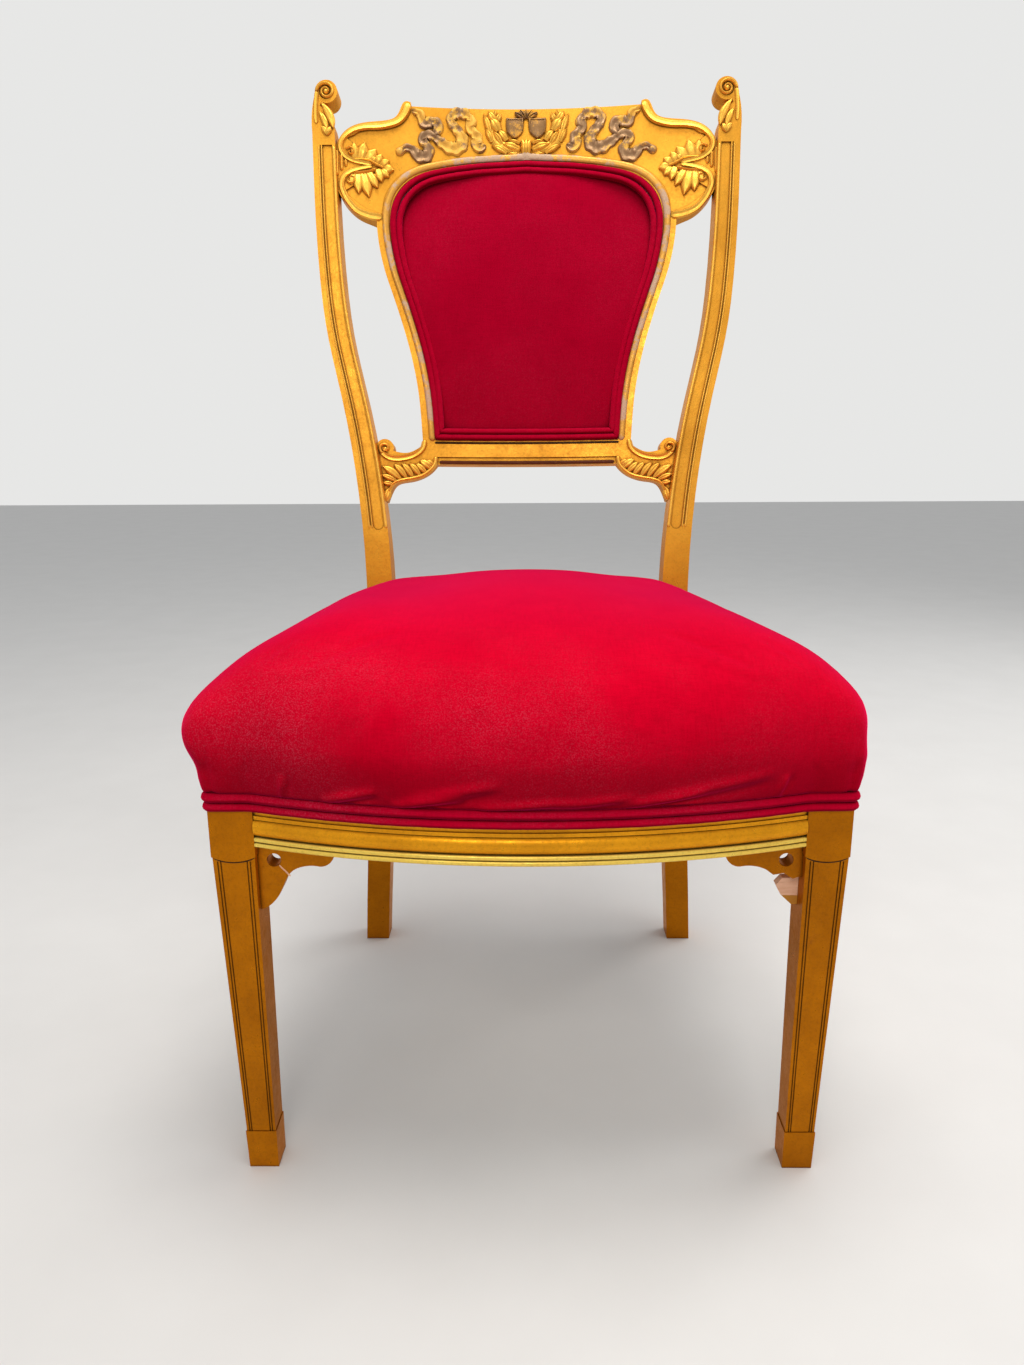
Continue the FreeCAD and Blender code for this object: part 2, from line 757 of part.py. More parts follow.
def stile_face(low, high):
    """The right stile, a slim ogee strip beside the panel, between two heights."""
    points = shares_of(pad_side_shares, pad_half, pad_bottom, pad_top)
    outer = [(u + stile_width, v) for u, v in points]
    inner = [(u - pad_rebate_width, v) for u, v in points]
    top, bottom = max(high, outer[0][1]) + overrun, min(low, outer[-1][1]) - overrun
    outline = Outline(elevation(0), (outer[0][0], top)).line(outer[0]).curve(*outer[1:])
    outline.line((outer[-1][0], bottom), (inner[-1][0], bottom), inner[-1])
    outline.curve(*reversed(inner[:-1])).line((inner[0][0], top))
    window = box((0, -overrun, low), (front_width, overrun, high))
    return outline.face().common(window).Faces[0]


def back_stile():
    """The right stile from the lower rail to the crest, rebated for the panel."""
    stile = sheet_slab(stile_face(lower_rail_top, crest_joint), 0, panel_thickness)
    rebate = sheet_slab(pad_face(0), -overrun, pad_rebate_depth)
    return on_back(largest(stile.cut(rebate)))


# Lower rail, right half: the scroll from the stile out to the post, then the leaf bracket below
scroll_top_shares = ((0.0, 1.0), (0.05, 0.955), (0.145, 0.905), (0.31, 0.85), (0.57, 0.86), (0.72, 0.90))
leaf_bottom_shares = ((-0.30, 0.655), (0.0, 0.45), (0.16, 0.40), (0.31, 0.372), (0.60, 0.31), (0.72, 0.17),
                      (0.80, 0.0))


def lower_scroll_points(shares):
    """Points of the scroll bracket, from shares of its reach to the post and of its height."""
    start = pad_side_at(lower_rail_top + overrun) + stile_width
    reach = post_across(lower_rail_top, 0) - start
    bottom = lower_rail_top - lower_bracket_drop
    return [(start + across * reach, bottom + up * lower_bracket_drop) for across, up in shares]


def lower_volute_centre():
    outer = post_across(lower_rail_top, 0)
    return outer - lower_volute_radius + quirk_depth, lower_rail_top - lower_volute_radius / 2


def lower_back_rail(posts):
    """The lower rail: a moulded bar whose ends turn into leafy scroll brackets."""
    top = lower_scroll_points(scroll_top_shares)
    bottom = lower_scroll_points(leaf_bottom_shares)
    into_post = post_across(lower_rail_top, 0.5)
    root = top[0][0] - stile_width
    lip = pad_side_at(pad_bottom) - pad_rebate_width
    lip_top = pad_bottom + pad_rebate_width
    outline = Outline(elevation(0), (0, lip_top)).line((lip, lip_top), (lip, lower_rail_top), top[0])
    outline.curve(*top[1:])
    outline.line((into_post, top[-1][1]), (into_post, bottom[-1][1]), bottom[-1])
    outline.curve(*reversed(bottom[:-1])).line((0, bottom[0][1]))
    face = symmetric_face(outline.edges)
    eye_u, eye_v = lower_volute_centre()
    board = sheet_slab(face, 0, panel_thickness)
    for side in (-1, 1):
        disc = Part.Face(Part.Wire(Part.makeCircle(lower_volute_radius, Vector(side * eye_u, 0, eye_v), Y_AXIS)))
        board = board.fuse(sheet_slab(disc, 0, panel_thickness))
    rebate = sheet_slab(pad_face(0), -overrun, pad_rebate_depth)
    opening = sheet_slab(pad_face(pad_rebate_width), -overrun, panel_thickness + overrun)
    bar_middle = (lower_rail_bottom + lower_rail_top) / 2
    bar = box((-root, 0, lower_rail_bottom - overrun), (root, overrun, bar_middle - lower_rail_bead / 2))
    sunk = sheet_slab(bar.Faces[2], -overrun, crest_relief)
    rail = on_back(board.cut(rebate).cut(opening).cut(sunk))
    for post in posts:
        rail = rail.cut(post)
    return largest(rail.removeSplitter())


# Dowels

def dowel(radius, start, direction):
    """A dowel that reaches the same way into both pieces it joins."""
    return Part.makeCylinder(radius, 2 * dowel_reach, start - direction * dowel_reach, direction)


def sheet_middle(u, thickness):
    """Depth behind the posts' faces of the middle of the sheet's thickness at a distance from the middle."""
    return sheet_centre_b + math.sqrt((back_radius + thickness / 2) ** 2 - u ** 2)


def side_dowels(radius, thickness, heights):
    """Dowels between the right post's inner face and the end of a back rail."""
    made = []
    for height in heights:
        u = post_across(height, 0)
        made.append(on_back(dowel(radius, Vector(u, sheet_middle(u, thickness), height), X_AXIS)))
    return made


def stile_dowels():
    """Dowels up from the lower rail and down from the crest into the right stile."""
    made = []
    for height in (lower_rail_top, crest_joint):
        u = pad_side_at(height) + stile_width / 2 - pad_rebate_width / 2
        depth = sheet_middle(u, panel_thickness) + pad_rebate_depth / 4
        made.append(on_back(dowel(stile_dowel_radius, Vector(u, depth, height), Z_AXIS)))
    return made


# Applied ornament on the crest

def on_crest(face, height):
    """An ornament standing on the crest's sunk ground."""
    return sheet_slab(face, crest_relief - height, crest_relief)


def ellipse_face(half_width, half_height, centre_v):
    ellipse = Part.Ellipse(CENTRE, max(half_width, half_height), min(half_width, half_height)).toShape()
    ellipse.rotate(CENTRE, X_AXIS, 90)
    ellipse.translate(Vector(0, 0, centre_v))
    return Part.Face(Part.Wire(ellipse))


def crest_wreath():
    """A laurel wreath as an oval ring, tied with a round knot at its foot."""
    ring = on_crest(ellipse_face(wreath_half, wreath_rise, wreath_centre), ornament_height)
    hole = on_crest(ellipse_face(wreath_half - wreath_band, wreath_rise - wreath_band / 2, wreath_centre),
                    ornament_height + overrun)
    knot_v = wreath_centre - wreath_rise + wreath_band / 4
    knot = Part.Face(Part.Wire(Part.makeCircle(wreath_bow_radius, Vector(0, 0, knot_v), Y_AXIS)))
    below_top = box((-crest_half, -back_radius, pad_top - overrun), (crest_half, back_radius, crest_top))
    wreath = join(ring.cut(hole), on_crest(knot, ornament_height + shield_height_above_rail / 2))
    return on_back(largest(wreath.common(below_top).cut(sheet_slab(pad_face(0), -back_radius / 9, crest_relief))))


shield_shares = ((-1.0, 1.0), (1.0, 1.0), (1.0, 0.45), (0.62, 0.16), (0.0, 0.0), (-0.62, 0.16), (-1.0, 0.45))


def crest_shields():
    """A pair of plain shields side by side inside the wreath."""
    shields = []
    for side in (-1, 1):
        middle = side * (shield_half + shield_gap / 2)
        points = [(middle + across * shield_half, wreath_centre + (up - 0.5) * shield_height)
                  for across, up in shield_shares]
        outline = Outline(elevation(0), points[0]).line(points[1], points[2]).curve(points[3], points[4])
        outline.curve(points[5], points[6])
        shields.append(on_back(on_crest(outline.face(), shield_height_above_rail)))
    return Part.makeCompound(shields)


# Middle line of the right-hand ribbon, from beside the wreath out to its curled tail
ribbon_line_shares = ((0.0, -0.25), (0.13, -0.10), (0.22, 0.40), (0.33, 0.55), (0.43, 0.15), (0.52, -0.30),
                      (0.64, -0.42), (0.76, -0.10), (0.86, 0.0), (1.0, -0.40))


def ribbon():
    """The right-hand ribbon as one waved band."""
    line = Part.BSplineCurve()
    line.interpolate([Vector(ribbon_inner_end + across * ribbon_half, 0, ribbon_centre + up * ribbon_rise / 2)
                      for across, up in ribbon_line_shares])
    steps = 6 * len(ribbon_line_shares)
    sides = {-1: [], 1: []}
    for step in range(steps + 1):
        at = line.FirstParameter + (line.LastParameter - line.FirstParameter) * step / steps
        normal = line.tangent(at)[0].cross(Y_AXIS)
        for side, points in sides.items():
            point = line.value(at) + normal * (side * ribbon_width / 2)
            points.append((point.x, point.z))
    outline = Outline(elevation(0), sides[1][0]).curve(*sides[1][1:]).line(sides[-1][-1])
    outline.curve(*reversed(sides[-1][:-1]))
    around_wreath = ellipse_face(wreath_half + soft_clearance, wreath_rise + soft_clearance, wreath_centre)
    clear = on_crest(around_wreath, ornament_height + overrun)
    return on_back(largest(on_crest(outline.face(), ornament_height).cut(clear)))


# Right-hand palmette: a fan of leaves that opens from the post towards the middle
palmette_shares = ((1.0, 0.50), (0.80, 0.60), (0.86, 0.80), (0.70, 1.0), (0.52, 0.94), (0.48, 0.80), (0.30, 0.78),
                   (0.28, 0.64), (0.0, 0.50), (0.28, 0.36), (0.30, 0.22), (0.48, 0.20), (0.52, 0.06), (0.70, 0.0),
                   (0.86, 0.20), (0.80, 0.40))


def palmette():
    """The right-hand palmette carved on the ear of the crest."""
    middle = crest_joint + (crest_top - crest_joint) * (crest_neck_shares[-1][1] + crest_lobe_shares[0][1]) / 2
    root = crest_half - crest_rim_width - palmette_width
    points = [(root + across * palmette_width, middle + (up - 0.5) * palmette_height)
              for across, up in palmette_shares]
    outline = Outline(elevation(0), points[0])
    for first in range(1, len(points) - 1, 2):
        outline.curve(points[first], points[first + 1])
    outline.curve(points[-1], points[0])
    return on_crest(outline.face(), palmette_relief)


# Back upholstery

def back_crown_sheet(rise):
    """All that lies in front of a sheet bowed forward over the panel by a rise."""
    half_height = (pad_top - pad_bottom) / 2
    radius = (half_height ** 2 + rise ** 2) / (2 * rise)
    middle = (pad_top + pad_bottom) / 2
    depth = pad_rebate_depth - welt_radius
    centre_b = sheet_centre_b + back_radius + depth - rise + radius
    return Part.makeCylinder(radius, 2 * pad_half + overrun, Vector(-pad_half - overrun / 2, centre_b, middle), X_AXIS)


def back_canvas():
    """The canvas stretched across the opening at the bottom of the rebate."""
    return on_back(sheet_slab(pad_face(soft_clearance), pad_rebate_depth - canvas_thickness, pad_rebate_depth))


def back_pad_solid(inset, skin):
    """The crowned pad on its canvas, drawn in and lowered by a skin."""
    near = -back_crown + skin
    slab = sheet_slab(pad_face(inset), near, pad_rebate_depth - canvas_thickness)
    return slab.common(back_crown_sheet(back_crown + pad_rebate_depth - welt_radius - skin))


def back_pad_pieces():
    """Stuffing and velvet cover of the panel."""
    margin = soft_clearance + 4 * welt_radius
    outer = back_pad_solid(margin, 0)
    inner = back_pad_solid(margin + back_cover_thickness, back_cover_thickness)
    return on_back(largest(inner)), on_back(largest(outer.cut(inner)))


def welt_ring(near, far, margin):
    """A double welt round the panel, with a groove between its two cords."""
    outer = pad_face(margin)
    inner = pad_face(margin + 4 * welt_radius - soft_clearance)
    ring = sheet_slab(outer, near, far).cut(sheet_slab(inner, near - overrun, far + overrun))
    between = sheet_slab(pad_face(margin + 2 * welt_radius - quirk_depth), near - overrun, near + welt_radius / 2)
    core = sheet_slab(pad_face(margin + 2 * welt_radius + quirk_depth), near - overrun, near + welt_radius / 2)
    return ring.cut(between.cut(core))


def back_welt():
    return on_back(welt_ring(-welt_proud, pad_rebate_depth - canvas_thickness, soft_clearance))


def outside_back():
    """The velvet across the rear of the panel, over the frame's back face."""
    face = pad_face(pad_rebate_width / 2)
    return on_back(sheet_slab(face, panel_thickness, panel_thickness + outside_back_thickness))


def back_straps():
    """Two upright and two level webbing straps behind the canvas."""
    straps = []
    near = pad_rebate_depth
    low, high = pad_bottom + pad_rebate_width, pad_top - pad_rebate_width
    opening = pad_face(pad_rebate_width + soft_clearance)
    for side in (-1, 1):
        middle = side * pad_half / 4
        upright = box((middle - back_strap_width / 2, 0, low), (middle + back_strap_width / 2, overrun, high))
        straps.append(sheet_slab(opening.common(upright.Faces[2]).Faces[0], near, near + back_strap_thickness))
        level_at = (low + high) / 2 + side * (high - low) / 5
        level = box((-pad_half, 0, level_at - back_strap_width / 2),
                    (pad_half, overrun, level_at + back_strap_width / 2))
        straps.append(sheet_slab(opening.common(level.Faces[2]).Faces[0], near + back_strap_thickness,
                                 near + 2 * back_strap_thickness))
    return on_back(Part.makeCompound(straps))


# Seat upholstery

def seat_outline(offset, height, radius, scale=1.0):
    """Plan of the seat frame grown by an offset, then drawn in towards its middle by a scale."""
    along = Vector(-math.sin(side_angle()), math.cos(side_angle()), 0)
    out = Vector(along.y, -along.x, 0)
    near = front_face - offset
    far = rear_rail_face + rail_thickness + min(offset, cover_overhang)
    inside = Vector(half_front, front_face, 0) + out * (offset - radius)
    fillet = inside + along * ((near + radius - inside.y) / along.y)
    rear_fillet = inside + along * ((far - radius - inside.y) / along.y)
    arc_radius = (leg_inner ** 2 + bow ** 2) / (2 * bow) + offset
    arc_centre = front_face - bow + arc_radius - offset
    bow_end = math.sqrt(arc_radius ** 2 - (arc_centre - near) ** 2)
    corner = fillet + (out - Y_AXIS).normalize() * radius
    rear_corner = rear_fillet + (out + Y_AXIS).normalize() * radius

    def at(point, side=1):
        return side * point.x, point.y

    outline = Outline(plan(height), (-bow_end, near)).arc((0, arc_centre - arc_radius), (bow_end, near))
    outline.line((fillet.x, near)).arc(at(corner), at(fillet + out * radius)).line(at(rear_fillet + out * radius))
    outline.arc(at(rear_corner), (rear_fillet.x, far)).line((-rear_fillet.x, far))
    outline.arc(at(rear_corner, -1), at(rear_fillet + out * radius, -1)).line(at(fillet + out * radius, -1))
    outline.arc(at(corner, -1), (-fillet.x, near))
    wire = outline.wire()
    wire.scale(scale, Vector(0, (front_face + rear_rail_face + rail_thickness) / 2, height))
    return wire


# Rise of the seat's side against how far it swells out, then of its crown against how far it draws in
seat_side_shares = ((0.12, 0.43), (0.25, 0.86), (0.39, 1.0), (0.48, 0.79), (0.565, 0.21))
seat_crown_shares = ((0.683, 0.965), (0.75, 0.9), (0.814, 0.8), (0.872, 0.67), (0.92, 0.52), (0.962, 0.34),
                     (0.987, 0.17))
cavity_shares = ((0.0, 1.0), (0.5, 0.99), (0.85, 0.93), (1.0, 0.79))


def seat_dome(inset, bottom):
    """The domed seat, drawn in and lowered by a margin: sides that swell, then a crowned top."""
    rise = seat_crown - cover_bottom
    draw_in = 1 - inset / half_front
    sections = [seat_outline(cover_overhang - inset, bottom, seat_corner_radius)]
    for up, out in seat_side_shares:
        offset = cover_overhang + (seat_swell - cover_overhang) * out - inset
        radius = seat_corner_radius + (seat_swell_radius - seat_corner_radius) * up
        sections.append(seat_outline(offset, cover_bottom + (rise - inset) * up, radius))
    for up, share in seat_crown_shares:
        height = cover_bottom + (rise - inset) * up
        sections.append(seat_outline(0, height, seat_swell_radius, share * draw_in))
    return Part.makeLoft(sections, True, True)


def seat_cavity(inset):
    """The sprung space under the stuffing."""
    rise = cavity_top - rail_top
    base = 1 - (cavity_margin + inset) / half_front
    sections = [seat_outline(0, rail_top + (rise - inset) * up, seat_swell_radius, base * share)
                for up, share in cavity_shares]
    return Part.makeLoft(sections, True, True)


def frame_block():
    """The solid envelope of the seat frame that the upholstery is drawn over."""
    low = cover_bottom - rail_height
    outline = Part.Face(seat_outline(soft_clearance, low, leg_reveal))
    return outline.extrude(Z_AXIS * (rail_top + soft_clearance - low))


def seat_pieces(post_clear):
    """Velvet cover, stuffing and spring canvas of the seat."""
    cavity = seat_cavity(0)
    block = frame_block()
    dome = seat_dome(0, cover_bottom)
    core = seat_dome(cover_thickness, cover_bottom)
    cover = dome.cut(core).cut(block)
    stuffing = core.cut(block).cut(cavity)
    canvas = cavity.cut(seat_cavity(canvas_thickness))
    pieces = []
    for piece in (cover, stuffing, canvas):
        for post in post_clear:
            piece = piece.cut(post)
        pieces.append(largest(piece))
    return pieces


def half_coil(start, end, side):
    """Half a turn of spring wire between two opposite points, bulging to one side in Y."""
    rise = (end - start).normalize()
    wire = Part.Face(Part.Wire(Part.makeCircle(spring_wire_radius, start, Y_AXIS)))
    return wire.revolve((start + end) / 2, rise.cross(Y_AXIS) * side, 180)


def closed_end(level):
    """The flat coil at a spring's end, most of a turn."""
    gap = 360 * spring_end_gap_share
    wire = Part.Face(Part.Wire(Part.makeCircle(spring_wire_radius, Vector(spring_end_radius, 0, level), Y_AXIS)))
    return wire.revolve(CENTRE, Z_AXIS, 360 - gap), gap


def springs():
    """Five waisted coil springs, one in the middle and one towards each corner."""
    low = rail_bottom + spring_wire_radius
    high = cavity_top - canvas_thickness - soft_clearance - spring_wire_radius
    steps = 2 * spring_turns
    points = []
    for step in range(steps + 1):
        from_waist = abs(2 * step / steps - 1)
        radius = spring_waist_radius + (spring_end_radius - spring_waist_radius) * from_waist
        points.append(Vector(radius if step % 2 == 0 else -radius, 0, low + (high - low) * step / steps))
    pieces = [half_coil(points[i], points[i + 1], 1 if i % 2 == 0 else -1) for i in range(steps)]
    bottom, gap = closed_end(low)
    bottom.rotate(CENTRE, Z_AXIS, gap)
    top, gap = closed_end(high)
    coil = join(*pieces, bottom, top)
    middle_y = (front_face + leg_size + rear_rail_face) / 2
    made = []
    for across, back in ((0, 0), (-1, -1), (-1, 1), (1, -1), (1, 1)):
        placed = coil.copy()
        placed.translate(Vector(across * spring_spread_x, middle_y + back * spring_spread_y, 0))
        made.append(placed)
    return Part.makeCompound(made)


def welt_outline(place):
    """Section of the double welt: two cords one above the other on a flat back."""
    radius = seat_welt_radius
    back = -radius / 3
    outline = Outline(place, (back, 0)).line((0, 0))
    for level in (0, 2 * radius):
        outline.arc((radius, level + radius), (0, level + 2 * radius))
    outline.line((back, 4 * radius))
    return outline.face()


# One cord of the welt: how high up it, and how far out
welt_cord_shares = ((0.0, 0.15), (0.12, 0.66), (0.5, 1.0), (0.88, 0.66), (1.0, 0.15))


def seat_welt():
    """The double welt round the front and sides of the seat, from post to post."""
    radius = seat_welt_radius
    base = soft_clearance + radius / 3
    rings = []
    for level in (0, 2 * radius):
        for up, out in welt_cord_shares[1 if level else 0:]:
            rings.append(seat_outline(base + out * radius, seat_welt_height + level + up * 2 * radius,
                                      seat_corner_radius))
    cords = Part.makeLoft(rings, True, True)
    frame = Part.Face(seat_outline(soft_clearance, seat_welt_height - overrun, leg_reveal))
    cords = cords.cut(frame.extrude(Z_AXIS * (4 * radius + 2 * overrun)))
    behind = post_side_prism(back_limit=front_face + front_width + seat_depth)
    return largest(cords.cut(behind))


def rear_welt(post_clear):
    """The short double welt across the rear rail, between the posts."""
    reach = post_across(rail_bottom - lean_start_height, 0.5)
    y = rear_rail_face + rail_thickness + soft_clearance + seat_welt_radius / 3
    section = welt_outline(lambda out_by, z: Vector(-reach, y + out_by, seat_welt_height + z))
    welt = section.extrude(X_AXIS * 2 * reach)
    for post in post_clear:
        welt = welt.cut(post)
    return largest(welt)


def strap_places():
    """Middles of the straps each way, spread evenly over the seat."""
    front_y = front_face + leg_size
    rear_y = rear_rail_face
    between_posts = post_across(rail_bottom - lean_start_height, 0) - strap_width / 2 - tenon_web
    between_brackets = leg_inner - bracket_width - strap_width / 2 - tenon_web
    half = min(between_posts, between_brackets)
    pitch_y = (rear_y - front_y) / straps_each_way
    rows = [front_y + pitch_y * (i + 0.5) for i in range(straps_each_way)]
    pitch_x = 2 * half / (straps_each_way - 1)
    columns = [-half + pitch_x * i for i in range(straps_each_way)]
    return rows, columns


def strap(ends, crossings, first_over, place, width_vector):
    """One woven strap: a thin band that passes over and under the straps it crosses."""
    level = rail_bottom - strap_thickness - strap_weave
    half = strap_width / 2
    flat = rail_thickness - strap_end_set_in
    held = rail_bottom - strap_thickness
    path = [(ends[0], held), (ends[0] + flat, held)]
    over = first_over
    for crossing in crossings:
        lift = strap_weave if over else -strap_weave
        path += [(crossing - half, level + lift), (crossing + half, level + lift)]
        over = not over
    path += [(ends[1] - flat, held), (ends[1], held)]
    top = [(along, z + strap_thickness) for along, z in reversed(path)]
    outline = Outline(place, path[0]).line(*path[1:], *top)
    return outline.face().extrude(width_vector)


def seat_straps():
    """Webbing under the rails: front-to-back and side-to-side straps, woven together."""
    rows, columns = strap_places()
    lengthwise, crosswise = [], []
    rear_end = rear_rail_face + rail_thickness - strap_end_set_in
    for i, x in enumerate(columns):
        front_end = bow_centre_y - math.sqrt((bow_radius - strap_end_set_in) ** 2 - x ** 2)
        lengthwise.append(strap((front_end, rear_end), rows, i % 2 == 0,
                                profile(x - strap_width / 2), X_AXIS * strap_width))
    front, rear = side_rail_line()
    for i, y in enumerate(rows):
        edge = front.x + (rear.x - front.x) * (y + strap_width / 2 - front.y) / (rear.y - front.y)
        reach = edge + rail_thickness / 2 - strap_end_set_in
        crosswise.append(strap((-reach, reach), columns, i % 2 == 1,
                               elevation(y - strap_width / 2), Y_AXIS * strap_width))
    return Part.makeCompound(lengthwise), Part.makeCompound(crosswise)


def seat_tacks():
    """Round-headed tacks under each strap end."""
    rows, columns = strap_places()
    level = rail_bottom - strap_thickness
    spread = strap_width / (tacks_per_end + 1)
    front, rear = side_rail_line()
    places = []
    for n in range(tacks_per_end):
        shift = (n + 1) * spread - strap_width / 2
        for x in columns:
            places.append((x + shift, rear_rail_face + rail_thickness / 2))
            reach = bow_radius - rail_thickness / 2
            places.append((x + shift, bow_centre_y - math.sqrt(reach ** 2 - (x + shift) ** 2)))
        for y in rows:
            edge = front.x + (rear.x - front.x) * (y + shift - front.y) / (rear.y - front.y)
            places += [(edge, y + shift), (-edge, y + shift)]
    heads = []
    for x, y in places:
        middle = Vector(x, y, level)
        heads.append(Part.makeCone(tack_radius, tack_radius / 2, tack_height, middle, -Z_AXIS))
    return Part.makeCompound(heads)


def export(node, shape):
    shape.exportStep(os.path.join("parts", node + ".step"))
    print(node, len(shape.Solids), round(shape.Volume), shape.isValid())


def build():
    """Makes every piece, cuts the joints between them and writes one file for each."""
    post = largest(post_blank())
    posts = (post, mirrored(post))
    post_clear_right = largest(post_blank(soft_clearance))
    post_clear = (post_clear_right, mirrored(post_clear_right))
    leg = front_leg()
    rail_front = front_rail()
    rail_side = side_rail()
    rail_rear = rear_rail(post)
    crest = crest_rail(posts)
    stile = back_stile()
    lower = lower_back_rail(posts)

    crest_middle = crest_joint + (crest_top - crest_joint) * (crest_neck_shares[-1][1] + crest_lobe_shares[0][1]) / 2
    crest_pins = side_dowels(dowel_radius, panel_thickness,
                             [crest_middle + side * dowel_spacing / 2 for side in (-1, 1)])
    lower_pins = side_dowels(lower_dowel_radius, panel_thickness,
                             [lower_rail_bottom + side * lower_dowel_spacing / 2 for side in (-1, 1)])
    stile_pins = stile_dowels()

    front_corner = Vector(half_front - tenon_wall, front_face + leg_size / 2, 0)
    rear_corner = Vector(post_across(rail_bottom - lean_start_height, 0.5), rear_rail_face + rail_thickness / 2, 0)
    block_front = corner_block(front_corner, 1, (leg, rail_front, rail_side))
    block_rear = corner_block(rear_corner, -1, (post, rail_rear, rail_side))
    screws = block_screws(front_corner, 1) + block_screws(rear_corner, -1)
    for screw in screws:
        block_front = block_front.cut(screw)
        block_rear = block_rear.cut(screw)
        rail_side = rail_side.cut(screw)
        for driven in (screw, mirrored(screw)):
            rail_front = rail_front.cut(driven)
            rail_rear = rail_rear.cut(driven)
            leg = leg.cut(driven)

    bracket_left = mirrored(whole_bracket(leg))
    bracket_right = broken_bracket(leg)
    stub = bracket_stub(leg)
    for mortise in (front_tenon(glue_line), side_tenons(glue_line)[0]):
        leg = leg.cut(mortise)
    for cut in (*post_moulding(), side_tenons(glue_line)[1], rear_tenon(glue_line), *crest_pins, *lower_pins):
        post = post.cut(cut)
    for screw in screws:
        post = post.cut(screw)
    for pin in crest_pins + stile_pins:
        crest = crest.cut(pin).cut(mirrored(pin))
    for pin in lower_pins + stile_pins:
        lower = lower.cut(pin).cut(mirrored(pin))
    for pin in stile_pins:
        stile = stile.cut(pin)

    cover, stuffing, canvas = seat_pieces(post_clear)
    pad, pad_cover = back_pad_pieces()
    straps_long, straps_cross = seat_straps()
    leaf = largest(on_back(palmette()).cut(crest))
    wreath = largest(crest_wreath().cut(crest))
    band = ribbon()
    back_webs = back_straps()
    for neighbour in (crest, stile, mirrored(stile), lower):
        back_webs = back_webs.cut(neighbour)

    def both(pieces):
        return Part.makeCompound(list(pieces) + [mirrored(piece) for piece in pieces])

    paired = {"front_leg": leg, "back_post": post, "side_seat_rail": rail_side,
              "front_corner_block": block_front, "rear_corner_block": block_rear, "back_stile": stile,
              "crest_ribbon": band, "crest_palmette": leaf}
    single = {"front_seat_rail": rail_front, "rear_seat_rail": rail_rear, "crest_rail": crest,
              "lower_back_rail": lower, "front_bracket_left": bracket_left,
              "front_bracket_right": bracket_right, "front_bracket_right_stub": stub,
              "corner_block_screws": both(screws), "crest_dowels": both(crest_pins),
              "lower_rail_dowels": both(lower_pins), "stile_dowels": both(stile_pins),
              "crest_wreath": wreath, "crest_shields": crest_shields(),
              "back_canvas": back_canvas(), "back_stuffing": pad, "back_cover": pad_cover,
              "back_welt": back_welt(), "outside_back_cover": outside_back(), "back_webbing": back_webs,
              "seat_cover": cover, "seat_stuffing": stuffing, "spring_canvas": canvas,
              "seat_welt": seat_welt(), "rear_seat_welt": rear_welt(post_clear),
              "seat_webbing_lengthwise": straps_long, "seat_webbing_crosswise": straps_cross,
              "webbing_tacks": seat_tacks(), "seat_springs": springs()}
    os.makedirs("parts", exist_ok=True)
    for name, shape in paired.items():
        export(name + "_right", shape)
        export(name + "_left", mirrored(shape))
    for name, shape in single.items():
        export(name, shape)


build()
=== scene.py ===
# %% [markdown]
# # A gilded side chair with velvet upholstery
# The frame of the chair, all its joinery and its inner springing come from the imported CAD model.
# This lesson dresses it: gilding and wear on the wood, carving on the crest, and soft velvet on
# the seat and back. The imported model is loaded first, because every new piece is placed against it.

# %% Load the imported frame
import math

import bmesh
import bpy
import numpy as np
from mathutils import Matrix, Vector


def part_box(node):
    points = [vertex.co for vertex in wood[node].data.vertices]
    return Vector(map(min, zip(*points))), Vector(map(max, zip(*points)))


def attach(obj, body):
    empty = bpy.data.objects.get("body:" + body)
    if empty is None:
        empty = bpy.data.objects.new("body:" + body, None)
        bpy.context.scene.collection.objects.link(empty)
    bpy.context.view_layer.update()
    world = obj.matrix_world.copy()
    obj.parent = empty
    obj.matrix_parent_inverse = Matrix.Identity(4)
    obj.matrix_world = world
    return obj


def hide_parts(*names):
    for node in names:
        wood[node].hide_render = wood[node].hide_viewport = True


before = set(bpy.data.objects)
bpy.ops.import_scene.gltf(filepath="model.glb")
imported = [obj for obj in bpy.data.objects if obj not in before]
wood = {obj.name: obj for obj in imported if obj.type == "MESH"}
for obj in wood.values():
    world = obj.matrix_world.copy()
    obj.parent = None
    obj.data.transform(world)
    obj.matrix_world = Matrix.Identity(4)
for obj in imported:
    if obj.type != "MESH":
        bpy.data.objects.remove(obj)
scene = bpy.context.scene
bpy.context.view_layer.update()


def new_object(name, data):
    """A new object in the scene."""
    made = bpy.data.objects.new(name, data)
    scene.collection.objects.link(made)
    return made


# %% [markdown]
# ## Where the photographer stood
# The view was worked out from the leg tops, the feet and the posts: a short lens held a little
# above the seat, tipped down. The camera is set from three directions (right, up and back), which
# is surer than turning it by angles one after the other.

# %% Camera
lens_data = bpy.data.cameras.new("view_of_the_chair")
lens_data.sensor_width, lens_data.lens = 36.0, 26.37  # mm
camera = new_object("view_of_the_chair", lens_data)
yaw, pitch, roll = math.radians(-0.666), math.radians(14.640), math.radians(-0.308)
ahead = Vector((math.sin(yaw) * math.cos(pitch), math.cos(yaw) * math.cos(pitch), -math.sin(pitch)))
level = Vector((math.cos(yaw), -math.sin(yaw), 0))
rise = level.cross(ahead)
right = math.cos(roll) * level + math.sin(roll) * rise
upward = -math.sin(roll) * level + math.cos(roll) * rise
turned = Matrix((right, upward, -ahead)).transposed().to_4x4()
camera.matrix_world = Matrix.Translation((-0.00457, -0.95568, 0.62188)) @ turned
scene.camera = camera
scene.view_settings.view_transform = "Standard"
print("camera at", [round(v, 3) for v in camera.location])

